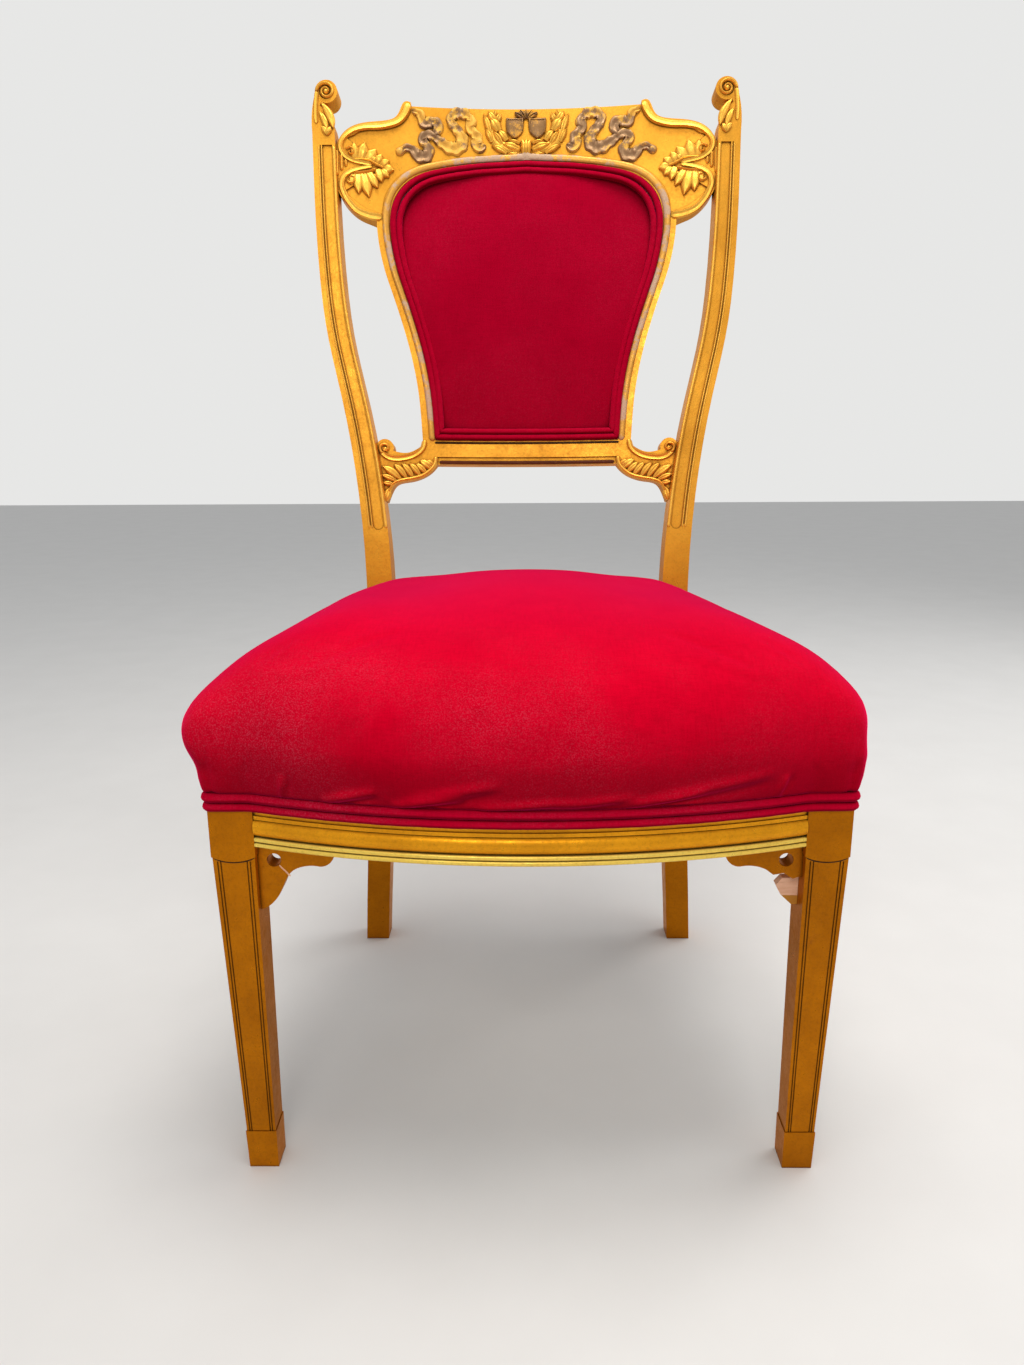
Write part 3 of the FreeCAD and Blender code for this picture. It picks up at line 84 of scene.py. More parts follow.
# %% [markdown]
# ## Floor and light
# A pale floor, a large soft lamp overhead, as under a ceiling light, and a smaller one in front, which
# puts the bright lines on the beads. A third on the far side keeps the back readable.
# The world gives the rest. Where the camera, or gold that mirrors the room, looks past the
# floor it sees a plain pale ground, through the Light Path node.

# %% Floor, lamps and world
def choose(*pieces):
    """Selects these pieces and no others, the last one as the active one."""
    if bpy.context.mode != "OBJECT":
        bpy.ops.object.mode_set(mode="OBJECT")
    bpy.ops.object.select_all(action="DESELECT")
    for piece in pieces:
        piece.select_set(True)
        bpy.context.view_layer.objects.active = piece


choose()
bpy.ops.mesh.primitive_plane_add(size=14, location=(0, 0, 0))
floor = bpy.context.active_object
floor.name = "floor"


def soft_lamp(name, place, target, size, power, tint=(1, 1, 1)):
    """A square area lamp that looks at a point."""
    lamp = bpy.data.lights.new(name, "AREA")
    lamp.size, lamp.energy, lamp.color = size, power, tint
    made = new_object(name, lamp)
    made.location = place
    made.rotation_euler = (Vector(target) - Vector(place)).to_track_quat("-Z", "Y").to_euler()


soft_lamp("ceiling_light", (0.1, -0.25, 2.4), (0, -0.1, 0.5), 1.1, 32, (1, 0.97, 0.93))
soft_lamp("front_light", (-0.2, -1.9, 1.75), (0, -0.1, 0.5), 0.6, 9.5, (1, 0.98, 0.95))
soft_lamp("far_side_fill", (1.9, 0.9, 1.6), (0, 0, 0.5), 1.4, 15)

world = bpy.data.worlds.new("pale_room")
scene.world = world
world.use_nodes = True
print("floor, three lamps and a world")

# %% [markdown]
# ## A short way of writing shader trees
# A finish is a tree of nodes. These helpers add one node at a time and fill its inputs: a value is
# set, and a socket is linked. Sums and products of sockets are written as sums and products, so
# each finish reads as a list of steps.

# %% Node helpers
class Value:
    """An output of a node, which can be reckoned with."""

    def __init__(self, steps, socket):
        self.steps, self.socket = steps, socket

    def maths(self, what, other):
        return self.steps.add("Math", self, other, operation=what)

    def __mul__(self, other):
        return self.maths("MULTIPLY", other)

    def __add__(self, other):
        return self.maths("ADD", other)

    def most(self, other):
        return self.maths("MAXIMUM", other)

    def between(self, low, high, to_low=0.0, to_high=1.0):
        """Stretches a range of the value to another range, and stops at its ends."""
        return self.steps.add("MapRange", self, low, high, to_low, to_high)

    def blend(self, first, second):
        """Mixes two colours by this share."""
        other_inputs = (None,) * 5
        return self.steps.add("Mix", self, *other_inputs, first, second, data_type="RGBA", out=2)


class Steps:
    """The steps of one shader tree."""

    def __init__(self, tree):
        self.tree = tree

    def fill(self, node, *inputs, **named):
        """Links or sets a node's inputs, given in order or by name with _ for a space."""
        pairs = [*enumerate(inputs), *((key.replace("_", " "), value) for key, value in named.items())]
        for key, value in pairs:
            if isinstance(value, Value):
                self.tree.links.new(value.socket, node.inputs[key])
            elif value is not None:
                node.inputs[key].default_value = value

    def node(self, kind, *inputs, **named):
        """Adds a node; names in small letters are its settings, and the others its inputs."""
        made = self.tree.nodes.new("ShaderNode" + kind)
        for key in [key for key in named if key.islower()]:
            setattr(made, key, named.pop(key))
        self.fill(made, *inputs, **named)
        return made

    def add(self, kind, *inputs, out=0, **named):
        """Adds a node and gives one of its outputs."""
        return Value(self, self.node(kind, *inputs, **named).outputs[out])

    def noise(self, where, scale, detail=4.0, roughness=0.55):
        return self.add("TexNoise", Vector=where, Scale=scale, Detail=detail, Roughness=roughness)

    def place(self, *scale):
        """Object coordinates, so that a pattern stays with its piece, stretched if scales are given."""
        where = self.add("TexCoord", out="Object")
        return self.add("Mapping", where, Scale=scale) if scale else where

    def along(self, axis):
        """The place along one axis."""
        return self.add("SeparateXYZ", self.place(), out=axis)

    def shelter(self, reach):
        """How open a place is, by ambient occlusion within a reach."""
        return self.add("AmbientOcclusion", Distance=reach, samples=8, out="AO")

    def bump(self, strength, distance, height):
        return self.add("Bump", Strength=strength, Distance=distance, Height=height)


finishes = {}


def new_finish(key, name):
    """A new material, kept among the finishes under a short key: its steps and its shader."""
    finishes[key] = made = bpy.data.materials.new(name)
    made.use_nodes = True
    return Steps(made.node_tree), made.node_tree.nodes["Principled BSDF"]


room = Steps(world.node_tree)
room.tree.nodes.clear()
path = room.node("LightPath")
seen, mirrored, through = [Value(room, path.outputs[f"Is {ray} Ray"]) for ray in ("Camera", "Glossy", "Transmission")]
light = room.add("Background", Color=(0.95, 0.97, 1.0, 1), Strength=0.50)
ground = room.add("Background", Color=(0.80, 0.80, 0.79, 1), Strength=1.0)
room.node("OutputWorld", room.add("MixShader", seen.most(mirrored).most(through), light, ground))

steps, shader = new_finish("floor", "pale_floor")
paint = steps.noise(steps.place(), 9.0).blend((0.70, 0.69, 0.67, 1), (0.76, 0.75, 0.73, 1))
steps.fill(shader, Base_Color=paint, Roughness=0.75)
floor.data.materials.append(finishes["floor"])
print("floor and world painted")

# %% [markdown]
# ## Gilding
# Gold paint and leaf lie over red clay and white ground. The leaf is uneven, dirt and painted shade darken every
# recess, and rubbed places show the clay. One group makes that mixture, and each gilded finish
# gives it its own colours. The depth of a recess comes from ambient occlusion, kept in the
# material itself and given to the group as a number, which darkens the leaf as dirt and painted shade.

# %% Gilding group
def new_group(name, outputs, **inputs):
    """An empty shader group: its steps, the values given to it, and its output node."""
    tree = bpy.data.node_groups.new(name, "ShaderNodeTree")
    for title, value in inputs.items():
        kind = "NodeSocketFloat" if isinstance(value, float) else "NodeSocketColor"
        tree.interface.new_socket(title, in_out="INPUT", socket_type=kind).default_value = value
    for title in outputs:
        kind = "NodeSocketColor" if title == "Color" else "NodeSocketFloat"
        tree.interface.new_socket(title, in_out="OUTPUT", socket_type=kind)
    steps, start = Steps(tree), tree.nodes.new("NodeGroupInput")
    given = {title: Value(steps, start.outputs[title]) for title in inputs}
    return steps, given, tree.nodes.new("NodeGroupOutput")


gilding, given, result = new_group(
    "worn_gilding", ("Color", "Roughness", "Metallic", "Height"), Leaf=(0.8, 0.4, 0.05, 1),
    Shade=(0.3, 0.11, 0.01, 1), Clay=(0.2, 0.04, 0.01, 1), Recess=0.0, Rub=0.2, Metal=0.6)
where = gilding.place()
drift = gilding.noise(where, 16.0, 5.0).between(0.32, 0.68)
mottle = gilding.noise(where, 95.0, 6.0, 0.65).between(0.35, 0.72)
specks = gilding.noise(where, 420.0, 3.0, 0.7).between(0.48, 0.78)
strokes = gilding.noise(gilding.place(260.0, 260.0, 24.0), 1.0, 3.0)
worn_places = gilding.noise(where, 38.0, 8.0, 0.7) + given["Rub"] * 0.14
rubbed = worn_places.between(0.66, 0.74) * given["Rub"]
leaf = (drift * 0.56).blend(given["Leaf"], given["Shade"])
leaf = (mottle * 0.24).blend(leaf, given["Shade"])
leaf = rubbed.blend(leaf, given["Clay"])
# specks of dirt, and the Recess value: dirt and painted shade from ambient occlusion in recesses
dirt = (specks * 0.26).most(given["Recess"])
leaf = dirt.blend(leaf, (0.05, 0.017, 0.004, 1))
dull = rubbed.most(dirt)
gilding.fill(result, Color=leaf, Roughness=mottle * 0.18 + 0.27 + dull * 0.35,
             Metallic=(dull * -0.85 + 1.0) * given["Metal"], Height=(mottle + strokes) * 0.5)
print("gilding group:", len(gilding.tree.nodes), "nodes")

# %% [markdown]
# ## The gilded finishes
# The straight wood is a deeper ochre, with painted shade making it darker towards the floor, and the carving a
# brighter leaf.
# The front rail is a brighter copy of the wood, painted light, with painted highlights on its beads. The ribbons,
# shields and the bead beside the panel have lost their gold and show dull brown size or pale ground.

# %% Gilded materials
def group_finish(key, name, look, strength, distance, **values):
    """A finish from a group: its outputs go to the shader, and its height to a bump."""
    steps, shader = new_finish(key, name)
    group = steps.node("Group", node_tree=look.tree, **values)
    got = {output.name: Value(steps, output) for output in group.outputs}
    steps.fill(shader, Base_Color=got.pop("Color"), Normal=steps.bump(strength, distance, got.pop("Height")), **got)
    return steps, shader, group


def gilded(key, name, leaf, shade, clay, rub, reach=0.003, low=None, rise=(0.36, 0.54), metal=0.58, recess_dirt_and_shade=0.88):
    """A gilded finish with dirt and painted shade in its recesses; low is the leaf and shade below the heights of
    rise, a painted light by height.
    """
    steps, shader, group = group_finish(key, name, gilding, 0.5, 0.0004, Leaf=(*leaf, 1), Shade=(*shade, 1),
                                        Clay=(*clay, 1), Rub=rub, Metal=metal)
    if low:
        share = steps.along(2).between(*rise)
        steps.fill(group, Leaf=share.blend((*low[0], 1), (*leaf, 1)), Shade=share.blend((*low[1], 1), (*shade, 1)))
    # dirt and painted shade: ambient occlusion within the reach darkens the leaf in recesses
    steps.fill(group, Recess=steps.shelter(reach).between(0.40, 0.90, recess_dirt_and_shade, 0.0))
    steps.fill(shader, Specular_IOR_Level=0.1, Specular_Tint=(0.9, 0.56, 0.2, 1), Coat_Weight=0.05,
               Coat_Roughness=0.15)


# painted shade: below the heights of rise the wood turns to the darker low leaf and shade, darker towards the floor
gilded("gilded_wood", "gilded_wood_worn", (0.86, 0.40, 0.040), (0.48, 0.185, 0.013), (0.24, 0.055, 0.012), 0.24,
       low=((0.54, 0.172, 0.002), (0.29, 0.082, 0.001)))
# painted light: a brighter copy of the gilded wood for the front rail, and below 0.3095 m a pale bright leaf as a
# painted highlight along its beads
gilded("gilded_rail", "gilded_rail_and_beads", (0.93, 0.39, 0.012), (0.54, 0.200, 0.006), (0.24, 0.055, 0.012),
       0.16, low=((1.0, 0.74, 0.15), (0.84, 0.49, 0.06)), rise=(0.3090, 0.3095))
gilded("gilded_ornament", "gilded_carving", (0.98, 0.55, 0.085), (0.74, 0.34, 0.035), (0.30, 0.08, 0.02), 0.08,
       0.0016, recess_dirt_and_shade=0.62)
gilded("worn_ornament", "brown_worn_carving", (0.45, 0.270, 0.140), (0.24, 0.135, 0.066), (0.90, 0.50, 0.09), 1.4,
       0.0022, metal=0.25)
gilded("worn_shield", "brown_shields", (0.33, 0.180, 0.075), (0.17, 0.088, 0.034), (0.84, 0.42, 0.07), 1.1,
       0.0022, metal=0.25, recess_dirt_and_shade=0.9)
gilded("pale_ground", "bead_worn_to_ground", (0.78, 0.40, 0.07), (0.50, 0.25, 0.05), (0.60, 0.405, 0.265), 1.3,
       0.002, metal=0.3, recess_dirt_and_shade=0.8)
print("gilded finishes:", sorted(finishes))

# %% [markdown]
# ## Velvet
# Pile cloth is dark where one looks into the pile and bright where it lies over, so its colour
# runs in soft cloudy patches and fine streaks. Sheen does the bright rim. Pale lint has settled on the
# front of the seat and thinly on the back. All this is one group that the covers and the welts share.

# %% Velvet group and finishes
velvet, given, result = new_group("velvet_pile", ("Color", "Roughness", "Height"), Pile=(0.6, 0.0, 0.02, 1),
                                  Depth=(0.2, 0.0, 0.005, 1), Cloud=0.5)
where = velvet.place()
clouds = velvet.noise(where, 7.0, 3.0, 0.5).between(0.35, 0.68)
handled = velvet.noise(where, 26.0, 4.0, 0.6).between(0.40, 0.70)
streaks = velvet.noise(velvet.place(620.0, 90.0, 90.0), 1.0, 2.0)
weft = velvet.noise(velvet.place(90.0, 620.0, 620.0), 1.0, 2.0)
fibre = velvet.noise(where, 1500.0, 2.0, 0.7)
threads = (streaks + weft) * 0.5
patch = (clouds * 0.6 + handled * 0.4) * given["Cloud"]
colour = patch.blend(given["Pile"], given["Depth"])
colour = threads.between(0.42, 0.66, 0.0, 0.34).blend(colour, given["Depth"])
lint = velvet.noise(where, 900.0, 2.0, 0.75).between(0.47, 0.66, 0.0, 0.46)
x, y, z = [velvet.along(axis) for axis in range(3)]
dusty = y.between(-0.185, -0.262, 0.0, 0.62) * x.between(0.20, -0.16, 0.35, 1.0)
dusty = dusty.most(z.between(0.55, 0.62, 0.0, 0.12)) * velvet.noise(where, 8.0, 3.0).between(0.36, 0.60)
colour = (lint * dusty).blend(colour, (0.68, 0.11, 0.19, 1))
velvet.fill(result, Color=colour, Roughness=handled.between(0.0, 1.0, 0.78, 0.95), Height=fibre * 0.7 + threads)


def pile_cloth(key, name, pile, depth, cloud, gloss):
    """Velvet with painted shade: its colour darkens where the cloth faces downward and in creases, by its normal and
    by ambient occlusion.
    """
    steps, shader, group = group_finish(key, name, velvet, 0.35, 0.0005, Pile=(*pile, 1), Depth=(*depth, 1),
                                        Cloud=cloud)
    # painted shade: faces turned down, and creases found by ambient occlusion, blend to a near-black red
    facing = steps.add("SeparateXYZ", steps.add("NewGeometry", out="Normal"), out=2)
    painted_shade = facing.between(-0.54, -0.01, 0.88, 0.0).most(steps.shelter(0.012).between(0.30, 0.72, 0.85, 0.0))
    colour = painted_shade.blend(Value(steps, group.outputs["Color"]), (0.13, 0.0001, 0.003, 1))
    steps.fill(shader, Base_Color=colour, Sheen_Weight=gloss, Sheen_Roughness=0.38,
               Sheen_Tint=(1.0, 0.012, 0.15, 1), Specular_IOR_Level=0.01)


pile_cloth("velvet", "crimson_velvet", (0.64, 0.0002, 0.018), (0.37, 0.0001, 0.008), 0.40, 1.0)
# painted shade: the back's velvet and welt are darker copies of the seat's
pile_cloth("velvet_back", "crimson_velvet_of_the_back", (0.40, 0.0002, 0.019), (0.24, 0.0001, 0.009), 0.40, 0.7)
pile_cloth("velvet_welt_back", "crimson_welt_of_the_back", (0.44, 0.0003, 0.021), (0.24, 0.0001, 0.009), 0.30, 0.6)
pile_cloth("velvet_welt", "crimson_welt", (0.60, 0.0006, 0.026), (0.32, 0.0002, 0.010), 0.30, 0.75)
print("velvet finishes made")

# %% [markdown]
# ## Inner finishes
# Beech for the blocks and the rear rail, jute webbing, plain canvas, horsehair and steel are only
# seen from below or where something is broken, but each has its own weave, grain or rust.

# %% Wood, weave and steel
weave, given, result = new_group("plain_weave", ("Color", "Height"), Warp=(0.5, 0.4, 0.25, 1),
                                 Gap=(0.15, 0.1, 0.05, 1), Pitch=900.0)
where = weave.place()
bands = [weave.add("TexWave", Vector=where, Scale=given["Pitch"], Distortion=1.2, Detail=2.0, Detail_Scale=0.6,
                   bands_direction=axis, wave_profile="SIN", out=1) for axis in "XY"]
threads = bands[0].most(bands[1])
cloth = weave.noise(where, 30.0).between(0.35, 0.7, 0.0, 0.5).blend(given["Warp"], given["Gap"])
cloth = threads.between(0.1, 0.7, 0.8, 0.0).blend(cloth, given["Gap"])
weave.fill(result, Color=cloth, Height=threads)
for key, name, warp, gap, pitch in (
        ("webbing", "jute_webbing", (0.52, 0.40, 0.24, 1), (0.20, 0.13, 0.06, 1), 190.0),
        ("canvas", "plain_canvas", (0.58, 0.50, 0.37, 1), (0.30, 0.23, 0.14, 1), 330.0),
        ("stuffing", "horsehair", (0.16, 0.12, 0.09, 1), (0.05, 0.035, 0.025, 1), 120.0)):
    steps, shader, group = group_finish(key, name, weave, 0.6, 0.0005, Warp=warp, Gap=gap, Pitch=pitch)
    steps.fill(shader, Roughness=0.92)


def beech(key, name, pale, dark, fleck, gilt_below=None):
    """Plain beech with its grain along X and short dark flecks, still gilded below a height if one is given."""
    steps, shader = new_finish(key, name)
    grain = steps.noise(steps.place(14.0, 60.0, 60.0), 3.0, 8.0, 0.6)
    flecks = steps.noise(steps.place(60.0, 400.0, 400.0), 1.0, 2.0)
    tone = grain.between(0.3, 0.7).blend((*pale, 1), (*dark, 1))
    tone = flecks.between(0.62, 0.75, 0.0, 0.5).blend(tone, (*fleck, 1))
    if gilt_below:
        height = steps.along(2) + grain.between(0.0, 1.0, -0.001, 0.001)
        tone = height.between(gilt_below - 0.0004, gilt_below).blend((0.50, 0.20, 0.01, 1), tone)
    steps.fill(shader, Base_Color=tone, Roughness=grain.between(0.3, 0.7, 0.55, 0.75),
               Normal=steps.bump(0.3, 0.0004, grain))


beech("bare_wood", "bare_beech", (0.46, 0.27, 0.13), (0.28, 0.14, 0.06), (0.14, 0.065, 0.025))
beech("fresh_break", "freshly_broken_beech", (0.92, 0.56, 0.37), (0.76, 0.40, 0.24), (0.42, 0.18, 0.08), 0.2512)

steps, shader = new_finish("steel", "dull_steel")
rust = steps.noise(steps.place(), 140.0, 6.0, 0.65).between(0.52, 0.66)
steps.fill(shader, Base_Color=rust.blend((0.42, 0.41, 0.40, 1), (0.16, 0.065, 0.025, 1)),
           Metallic=rust.between(0.0, 1.0, 0.95, 0.25), Roughness=rust.between(0.0, 1.0, 0.38, 0.8))

# the front rail takes the brighter copy with painted light; the broken stub its fresh wood
own_finish = {"front_seat_rail": "gilded_rail", "front_bracket_right_stub": "fresh_break"}
for name, node in wood.items():
    for place in node.material_slots:
        place.material = finishes[own_finish.get(name, place.material.name.split(".")[0])]
print("finishes on the frame:", sorted(finishes))

# %% [markdown]
# ## Soft seat
# The seat is webbing, springs, canvas, hair and a velvet cover pulled down to the rails. The cover
# and the stuffing of the CAD model have the plain form. A copy of the two is remeshed evenly as one
# and blown up a little as cloth, held at its lower edge and round the spring well, so the velvet
# rounds over as stuffing pushes it out.

# %% Helpers for soft pieces
def copy_of(name, *nodes):
    """A copy of one or more CAD nodes as one new piece, with its loose triangles joined."""
    copies = [new_object(name, wood[node].data.copy()) for node in nodes]
    for piece in copies:
        piece.data.materials.clear()
    choose(*copies)
    if len(nodes) > 1:
        bpy.ops.object.join()
    piece.name = name
    bpy.ops.object.mode_set(mode="EDIT")
    bpy.ops.mesh.select_all(action="SELECT")
    bpy.ops.mesh.remove_doubles(threshold=0.00002)
    bpy.ops.object.mode_set(mode="OBJECT")
    return piece


def even_mesh(piece, size, rounds, softness=None):
    """Remeshes a closed form in even squares and takes the steps out, by each point's share of softness."""
    choose(piece)
    piece.data.remesh_voxel_size = size
    bpy.ops.object.voxel_remesh()
    softer = piece.modifiers.new("softer", "SMOOTH")
    softer.factor, softer.iterations = 0.5, rounds
    if softness:
        share = piece.vertex_groups.new(name="soft")
        for i, weight in enumerate(softness(points_of(piece.data))):
            share.add([i], float(weight), "REPLACE")
        softer.vertex_group = share.name
    bpy.ops.object.modifier_apply(modifier=softer.name)
    piece.vertex_groups.clear()


def points_of(mesh, what="co"):
    """The places of a mesh's points, or their normals."""
    flat = np.zeros(len(mesh.vertices) * 3)
    mesh.vertices.foreach_get(what, flat)
    return flat.reshape(-1, 3)


def set_points(mesh, points):
    mesh.vertices.foreach_set("co", np.asarray(points, float).ravel())
    mesh.update()


PUFF_FRAMES = 20


def puff(piece, held, pressure, limit):
    """Blows a closed form up as cloth for some frames; held and limit are arrays over its points."""
    start = points_of(piece.data)
    pins = piece.vertex_groups.new(name="held")
    pins.add([int(i) for i in np.nonzero(held)[0]], 1.0, "REPLACE")
    cloth = piece.modifiers.new("stuffed", "CLOTH")
    how = cloth.settings
    how.quality, how.mass = 5, 0.25
    how.tension_stiffness, how.compression_stiffness, how.shear_stiffness = 12, 12, 5
    how.bending_stiffness = 0.6
    how.use_pressure, how.uniform_pressure_force = True, pressure
    how.vertex_group_mass = "held"
    how.effector_weights.gravity = 0
    cloth.point_cache.frame_start, cloth.point_cache.frame_end = 1, PUFF_FRAMES
    for now in range(1, PUFF_FRAMES + 1):
        scene.frame_set(now)
    shape = piece.evaluated_get(bpy.context.evaluated_depsgraph_get()).to_mesh()
    moved = points_of(shape) - start
    far = np.linalg.norm(moved, axis=1)
    moved *= np.minimum(1.0, limit / np.maximum(far, 1e-9))[:, None]
    piece.modifiers.remove(cloth)
    piece.vertex_groups.remove(pins)
    scene.frame_set(1)
    set_points(piece.data, start + moved)
    print(piece.name, "swelled by up to", round(float(np.minimum(far, limit).max()) * 1000, 1), "mm")


def finish_piece(piece, slot, finish=None, angle=None):
    """Gives a piece its finish, named by its slot unless another is given, smooth shading, and the frame as its
    carrier.
    """
    piece.data.materials.clear()
    piece.data.materials.append(finishes[finish or slot])
    choose(piece)
    if angle is None:
        bpy.ops.object.shade_smooth()
    else:
        bpy.ops.object.shade_smooth_by_angle(angle=math.radians(angle))
    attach(piece, "root")

# %% Seat cushion
cushion = copy_of("velvet_seat", "seat_cover", "seat_stuffing")
# metres: the remeshed squares, three heights near the cover's lower edge, and the middle of a post
CUSHION_CELL, COVER_EDGE, HELD_BELOW, FREE_FROM = 0.0055, 0.351, 0.352, 0.349
POST_X, POST_Y = 0.163, 0.150
PRESSURE = 4.0
even_mesh(cushion, CUSHION_CELL, 14, lambda at: np.clip((at[:, 2] - COVER_EDGE) / 0.012, 0, 1))
at = points_of(cushion.data)
x, y, z = at.T
well_low, well_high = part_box("spring_canvas")
in_well = ((np.abs(x) < well_high.x + 0.006) & (y > well_low.y - 0.006)
           & (y < well_high.y + 0.006) & (z < well_high.z + 0.006))
held = in_well | (z < HELD_BELOW)
post_gap = np.hypot(np.abs(x) - POST_X, y - POST_Y)
shoulder = np.exp(-((np.abs(x) - 0.165) / 0.05) ** 2 - ((y + 0.05) / 0.13) ** 2)
shoulder *= np.where(x < 0, 0.0055, 0.0015)
room_to_move = np.clip((post_gap - 0.020) / 0.03, 0, 1) * (0.0020 + shoulder) + 0.0004
room_to_move *= np.clip((z - FREE_FROM) / 0.02, 0.1, 1)
puff(cushion, held, PRESSURE, room_to_move)

# years of use have left the cover fuller at the shoulders, the left one most, than beside the crown
at = points_of(cushion.data)
x, y, z = at.T
across = np.abs(x)
lift = np.where(x < 0, 0.0095, 0.0035) * np.exp(-((across - 0.172) / 0.042) ** 2)
lift -= np.where(x < 0, 0.0040, 0.0050) * np.exp(-((across - 0.092) / 0.045) ** 2)
lift -= 0.0012
lift *= np.exp(-(y / 0.17) ** 2) * (z > 0.40)
lift *= np.clip(points_of(cushion.data, "normal")[:, 2] / 0.3, 0, 1)
at[:, 2] += lift
# and the right side has sunk in, while the left one tucks in sharply above its welt
flank = np.clip((across - 0.17) / 0.08, 0, 1)
sunk_right = 0.0100 * np.exp(-((z - 0.394) / 0.027) ** 2)
sunk_left = 0.0042 * np.exp(-((z - 0.372) / 0.014) ** 2)
at[:, 0] += flank * np.where(x > 0, -sunk_right, sunk_left)
set_points(cushion.data, at)

# %% [markdown]
# The cover was pulled down over the front rail and tacked, so it drags into shallow folds above
# the welt, and is pleated at the front corners. These are laid on after the swelling, because they
# are narrower than the even mesh: one subdivision, then each fold is a soft ridge along a line.

# %% Folds in the seat cover
def subdivide_once(piece):
    choose(piece)
    finer = piece.modifiers.new("finer", "SUBSURF")
    finer.levels = finer.render_levels = 1
    bpy.ops.object.modifier_apply(modifier=finer.name)


subdivide_once(cushion)
at = points_of(cushion.data)
x, y, z = at.T
normals = points_of(cushion.data, "normal")
# each fold: start (x, z), end (x, z), half width and height in mm, on the front of the seat
front_folds = [((-187, 347), (-184, 368), 2.4, 2.2), ((-156, 348), (-112, 360), 3.6, 2.6),
               ((-104, 348), (-46, 357), 3.6, 2.6), ((-92, 353), (-20, 369), 4.6, 1.8),
               ((-40, 348), (34, 354), 3.2, 2.2), ((62, 349), (130, 359), 3.8, 2.4),
               ((92, 354), (182, 370), 4.6, 1.9), ((186, 347), (192, 368), 2.6, 2.0),
               ((18, 350), (78, 357), 3.4, 1.8)]
side_folds = [((-150, 349), (-60, 360), 3.8, 2.0), ((-40, 348), (60, 356), 3.8, 1.8),
              ((70, 349), (120, 361), 3.4, 1.8)]


def ridge(along, height, fold):
    """Height of a fold at points given by two coordinates in mm."""
    (a0, z0), (a1, z1), width, rise = fold
    run = math.hypot(a1 - a0, z1 - z0)
    t = ((along - a0) * (a1 - a0) + (height - z0) * (z1 - z0)) / run ** 2
    off = ((along - a0) * (z1 - z0) - (height - z0) * (a1 - a0)) / run
    body = np.clip(t * (1 - t) * 4, 0, 1) ** 0.7
    return rise * body * (np.exp(-(off / width) ** 2) - 0.55 * np.exp(-((off - 1.7 * width) / width) ** 2))


lift = np.zeros(len(at))
on_front = (normals[:, 1] < -0.55) & (y < -0.18)
for fold in front_folds:
    lift += np.where(on_front, ridge(x * 1000, z * 1000, fold), 0)
for side in (-1, 1):
    on_side = (normals[:, 0] * side > 0.55) & (x * side > 0.15)
    for fold in side_folds:
        lift += np.where(on_side, ridge(y * 1000, z * 1000, fold), 0)
    corner = np.exp(-((x - side * 0.2445) / 0.0035) ** 2) * (y < -0.215)
    lift -= 1.5 * corner * np.clip((0.405 - z) / 0.04, 0, 1)
set_points(cushion.data, at + normals * lift[:, None] * 0.001)
finish_piece(cushion, "velvet")
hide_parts("seat_cover", "seat_stuffing")
print("seat cushion:", len(cushion.data.polygons), "faces")

# %% [markdown]
# ## Double welt round the seat
# Two covered cords sewn side by side hide the tacks along the lower edge of the cover. A cord is
# a line with a round section: its line is read from the outside of the CAD welt, drawn in by the
# cord's own radius, and runs flat across each leg before it follows the bow of the rail.

# %% Seat welts
def cord_piece(name, lines, radii, closed=False):
    """Round cords along lines of points, as one mesh."""
    data = bpy.data.curves.new(name, "CURVE")
    data.dimensions, data.bevel_depth, data.bevel_resolution = "3D", radii[0], 4
    data.use_fill_caps = True
    for line, radius in zip(lines, radii):
        spline = data.splines.new("POLY")
        spline.points.add(len(line) - 1)
        for i, (point, place) in enumerate(zip(spline.points, line)):
            point.co = (*place, 1)
            point.radius = radius / radii[0] * (1 + 0.035 * math.sin(0.9 * i) * math.sin(0.37 * i + 1))
        spline.use_cyclic_u = closed
    choose(new_object(name, data))
    bpy.ops.object.convert(target="MESH")
    return bpy.context.active_object


def run_along(points):
    """The length of a line from its start to each of its points."""
    return np.cumsum(np.r_[0, np.linalg.norm(np.diff(points, axis=0), axis=1)])


def resample(points, spacing):
    """Evenly spaced points along a line of points."""
    points = np.asarray(points, float)
    run = run_along(points)
    wanted = np.linspace(0, run[-1], max(2, int(round(run[-1] / spacing)) + 1))
    return np.stack([np.interp(wanted, run, points[:, k]) for k in range(points.shape[1])], axis=1)


# metres: how far the cords sink into the cover, and how far they lie over each other
CORD_SINK, CORD_OVERLAP = 0.0004, 0.0009
cord_radius, lower_radius = 0.0042, 0.0037
welt_low, welt_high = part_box("seat_welt")
edge = points_of(wood["seat_welt"].data)
edge = edge[np.abs(edge[:, 2] - (welt_low.z + lower_radius)) < 0.0004][:, :2]
edge = edge[~((np.abs(edge[:, 0]) < 0.1815) & (edge[:, 1] > 0.1))]
edge = np.unique(np.round(edge, 5), axis=0)
edge = edge[np.argsort(np.arctan2(edge[:, 0], -edge[:, 1]))]
edge = resample(edge, 0.004)
run = np.gradient(edge, axis=0)
inward = np.stack([-run[:, 1], run[:, 0]], axis=1) / np.linalg.norm(run, axis=1)[:, None]
middle = edge + inward * (cord_radius - CORD_SINK)
for _ in range(2):
    middle[1:-1] = (middle[:-2] + 2 * middle[1:-1] + middle[2:]) / 4
lines = [[(x, y, z) for x, y in middle]
         for z in (welt_low.z + lower_radius, welt_high.z - cord_radius + CORD_OVERLAP)]
seat_welt = cord_piece("seat_double_welt", lines, (lower_radius, cord_radius))
finish_piece(seat_welt, "velvet_welt")
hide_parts("seat_welt")

